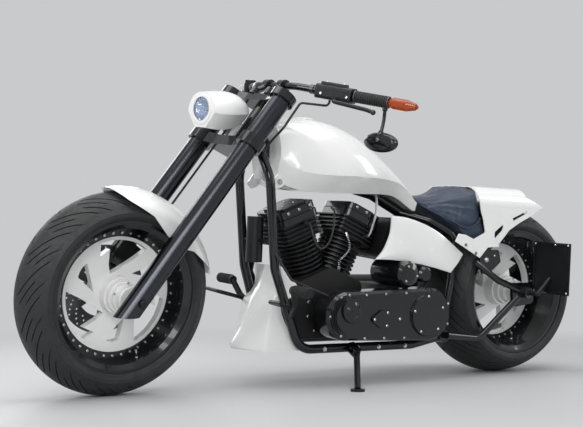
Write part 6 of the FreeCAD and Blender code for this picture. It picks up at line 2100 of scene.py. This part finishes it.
@dataclass(frozen=True)
class ChassisTrim(Assembly):
    """Bolts of the bodywork, the plate's frame and lamp, and the pegs' rubbers."""

    strut_face: float = 189.6
    plate_x: float = -61.0
    plate_middle: tuple[float, float] = (250.0, 435.0)
    peg_x: float = 1098.0

    def bodywork(self) -> None:
        """Adds the bolts of the fender's struts, the swingarms and both calipers."""
        for side, name in ((1, "left"), (-1, "right")):
            out = Y_AXIS * side
            for x, z in ((331.0, 516.0), (279.0, 485.0)):
                self.stud(Screw.CAP, (x, side * (self.strut_face - 3.4), z), out, 5.6, "satin_black")
            swingarm = "swingarm_" + name
            self.screw(Screw.HEX, swingarm, (211.0, side * 190.0, 460.0), out, 8.0)
            self.screw(Screw.DOME, swingarm, (170.0, side * 190.0, 476.0), out, 4.5)
        for node, body in (("front_caliper", Body.FORK), ("rear_caliper", self.body)):
            low, high = (Vector(corner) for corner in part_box(node))
            middle = self.shop.stance.of(body).inverted() @ ((low + high) / 2.0)
            for x, z in ((-16.0, 16.0), (16.0, -16.0), (14.0, 18.0), (-14.0, -18.0)):
                spot = self.shop.land(node, body, middle + Vector((x, 0.0, z)), -Y_AXIS)
                self.hardware.add(Screw.CAP, "bright_steel", body, spot, -Y_AXIS, 4.6)

    def plate(self) -> None:
        """Adds the raised frame round the blank plate, its bolts and its lamp."""
        front, rear = self.plate_x, self.plate_x - 5.0
        y, z = self.plate_middle
        for label, x, look in (("front", front, X_AXIS), ("rear", rear, -X_AXIS)):
            border = Form().plate(facing((x, y, z), look), oblong(90, 97), -0.4, 2.6, [oblong(84, 91)])
            self.piece(f"plate_frame_{label}", border, "satin_black", 0.7)
        blank = Form().plate(facing((rear, y, z - 10.0), -X_AXIS), oblong(82, 54), 0.1, 1.8)
        self.piece("blank_plate", blank, "plate_grey", 0.5)
        lamp = Form().tube([(self.plate_x - 7.0, left, 520.0) for left in (226.0, 250.0, 274.0)], 5.0, 12, 3)
        self.piece("plate_lamp", lamp, "lamp_lens_red")
        edge = Form().tube([(self.plate_x + 2.0, left, 337.5) for left in (175.0, 205.0, 234.0)], 2.4, 8, 3)
        self.piece("plate_edge_rod", edge, "bright_steel")
        for y, z in ((166.0, 527.0), (269.0, 527.0), (334.0, 527.0), (334.0, 343.0), (166.0, 343.0)):
            self.stud(Screw.DOME, (self.plate_x + 2.4, y, z), X_AXIS, 4.6)
            self.stud(Screw.DOME, (self.plate_x - 7.4, y, z), -X_AXIS, 4.6, "dark_steel")

    def pegs(self) -> None:
        """Adds the rubber rings of both pegs."""
        for side, name in ((1, "left"), (-1, "right")):
            peg = [(self.peg_x, side * left, 352.0) for left in (222.0, 304.0)]
            self.ribbed(f"peg_rubbers_{name}", peg, "grip_rubber", 8, 0.0152, 0.0032)

    def build(self) -> None:
        """Adds everything to the chassis."""
        self.bodywork()
        self.plate()
        self.pegs()


FRONT_GROOVES = (
    Groove(0, 1, 0.06, 0.93, 5.6, 5.0),
    Groove(1, 1, 0.52, 0.97, 4.6, 4.2),
    Groove(2, 1, 0.22, 0.74, 5.0, 4.6),
)
REAR_GROOVES = (
    Groove(0, 1, 0.10, 0.90, 6.4, 5.4),
    Groove(1, 1, 0.60, 0.96, 5.2, 4.4),
    Groove(2, 1, 0.30, 0.72, 5.8, 5.0),
)


def main() -> None:
    """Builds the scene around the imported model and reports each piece."""
    logging.basicConfig(level=logging.INFO, format="%(message)s")
    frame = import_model()
    stance = Stance.from_joints(frame["joints"])
    Studio(stance).build()
    palette = Palette(EffectGroups())
    for finish, nodes in CAD_FINISHES.items():
        for node in nodes:
            palette.dress(frame["nodes"][node], finish)
    shop = Workshop(stance, palette, frame["nodes"])
    tools = (shop, Hardware(shop))
    front, rear = Body.FRONT_WHEEL, Body.REAR_WHEEL
    Tyre(
        *tools, front, node="front_tyre", hub=FRONT_HUB, radius=327.5, width=183.0, crown=98.0,
        rim_width=154.0, pitches=17, sweep=0.46, grooves=FRONT_GROOVES,
    ).build()
    Tyre(
        *tools, rear, node="rear_tyre", hub=REAR_HUB, radius=333.5, width=300.0, crown=212.0,
        rim_width=276.0, pitches=14, sweep=-0.62, grooves=REAR_GROOVES,
    ).build()
    WheelTrim(*tools, front, name="front", hub=FRONT_HUB).build()
    WheelTrim(*tools, rear, name="rear", hub=REAR_HUB).build()
    Disc(*tools, front, node="front_disc", hub=FRONT_HUB, offset=-84.0).build()
    Disc(*tools, rear, node="rear_disc", hub=REAR_HUB, offset=-150.0).build()
    trims = (ForkTrim, LampInside, BarTrim, TankTrim, SideCovers, Spoiler, Saddle, EngineTrim, ChassisTrim)
    for part in trims:
        part(*tools).build()
    tools[1].build()


if __name__ == "__main__":
    main()
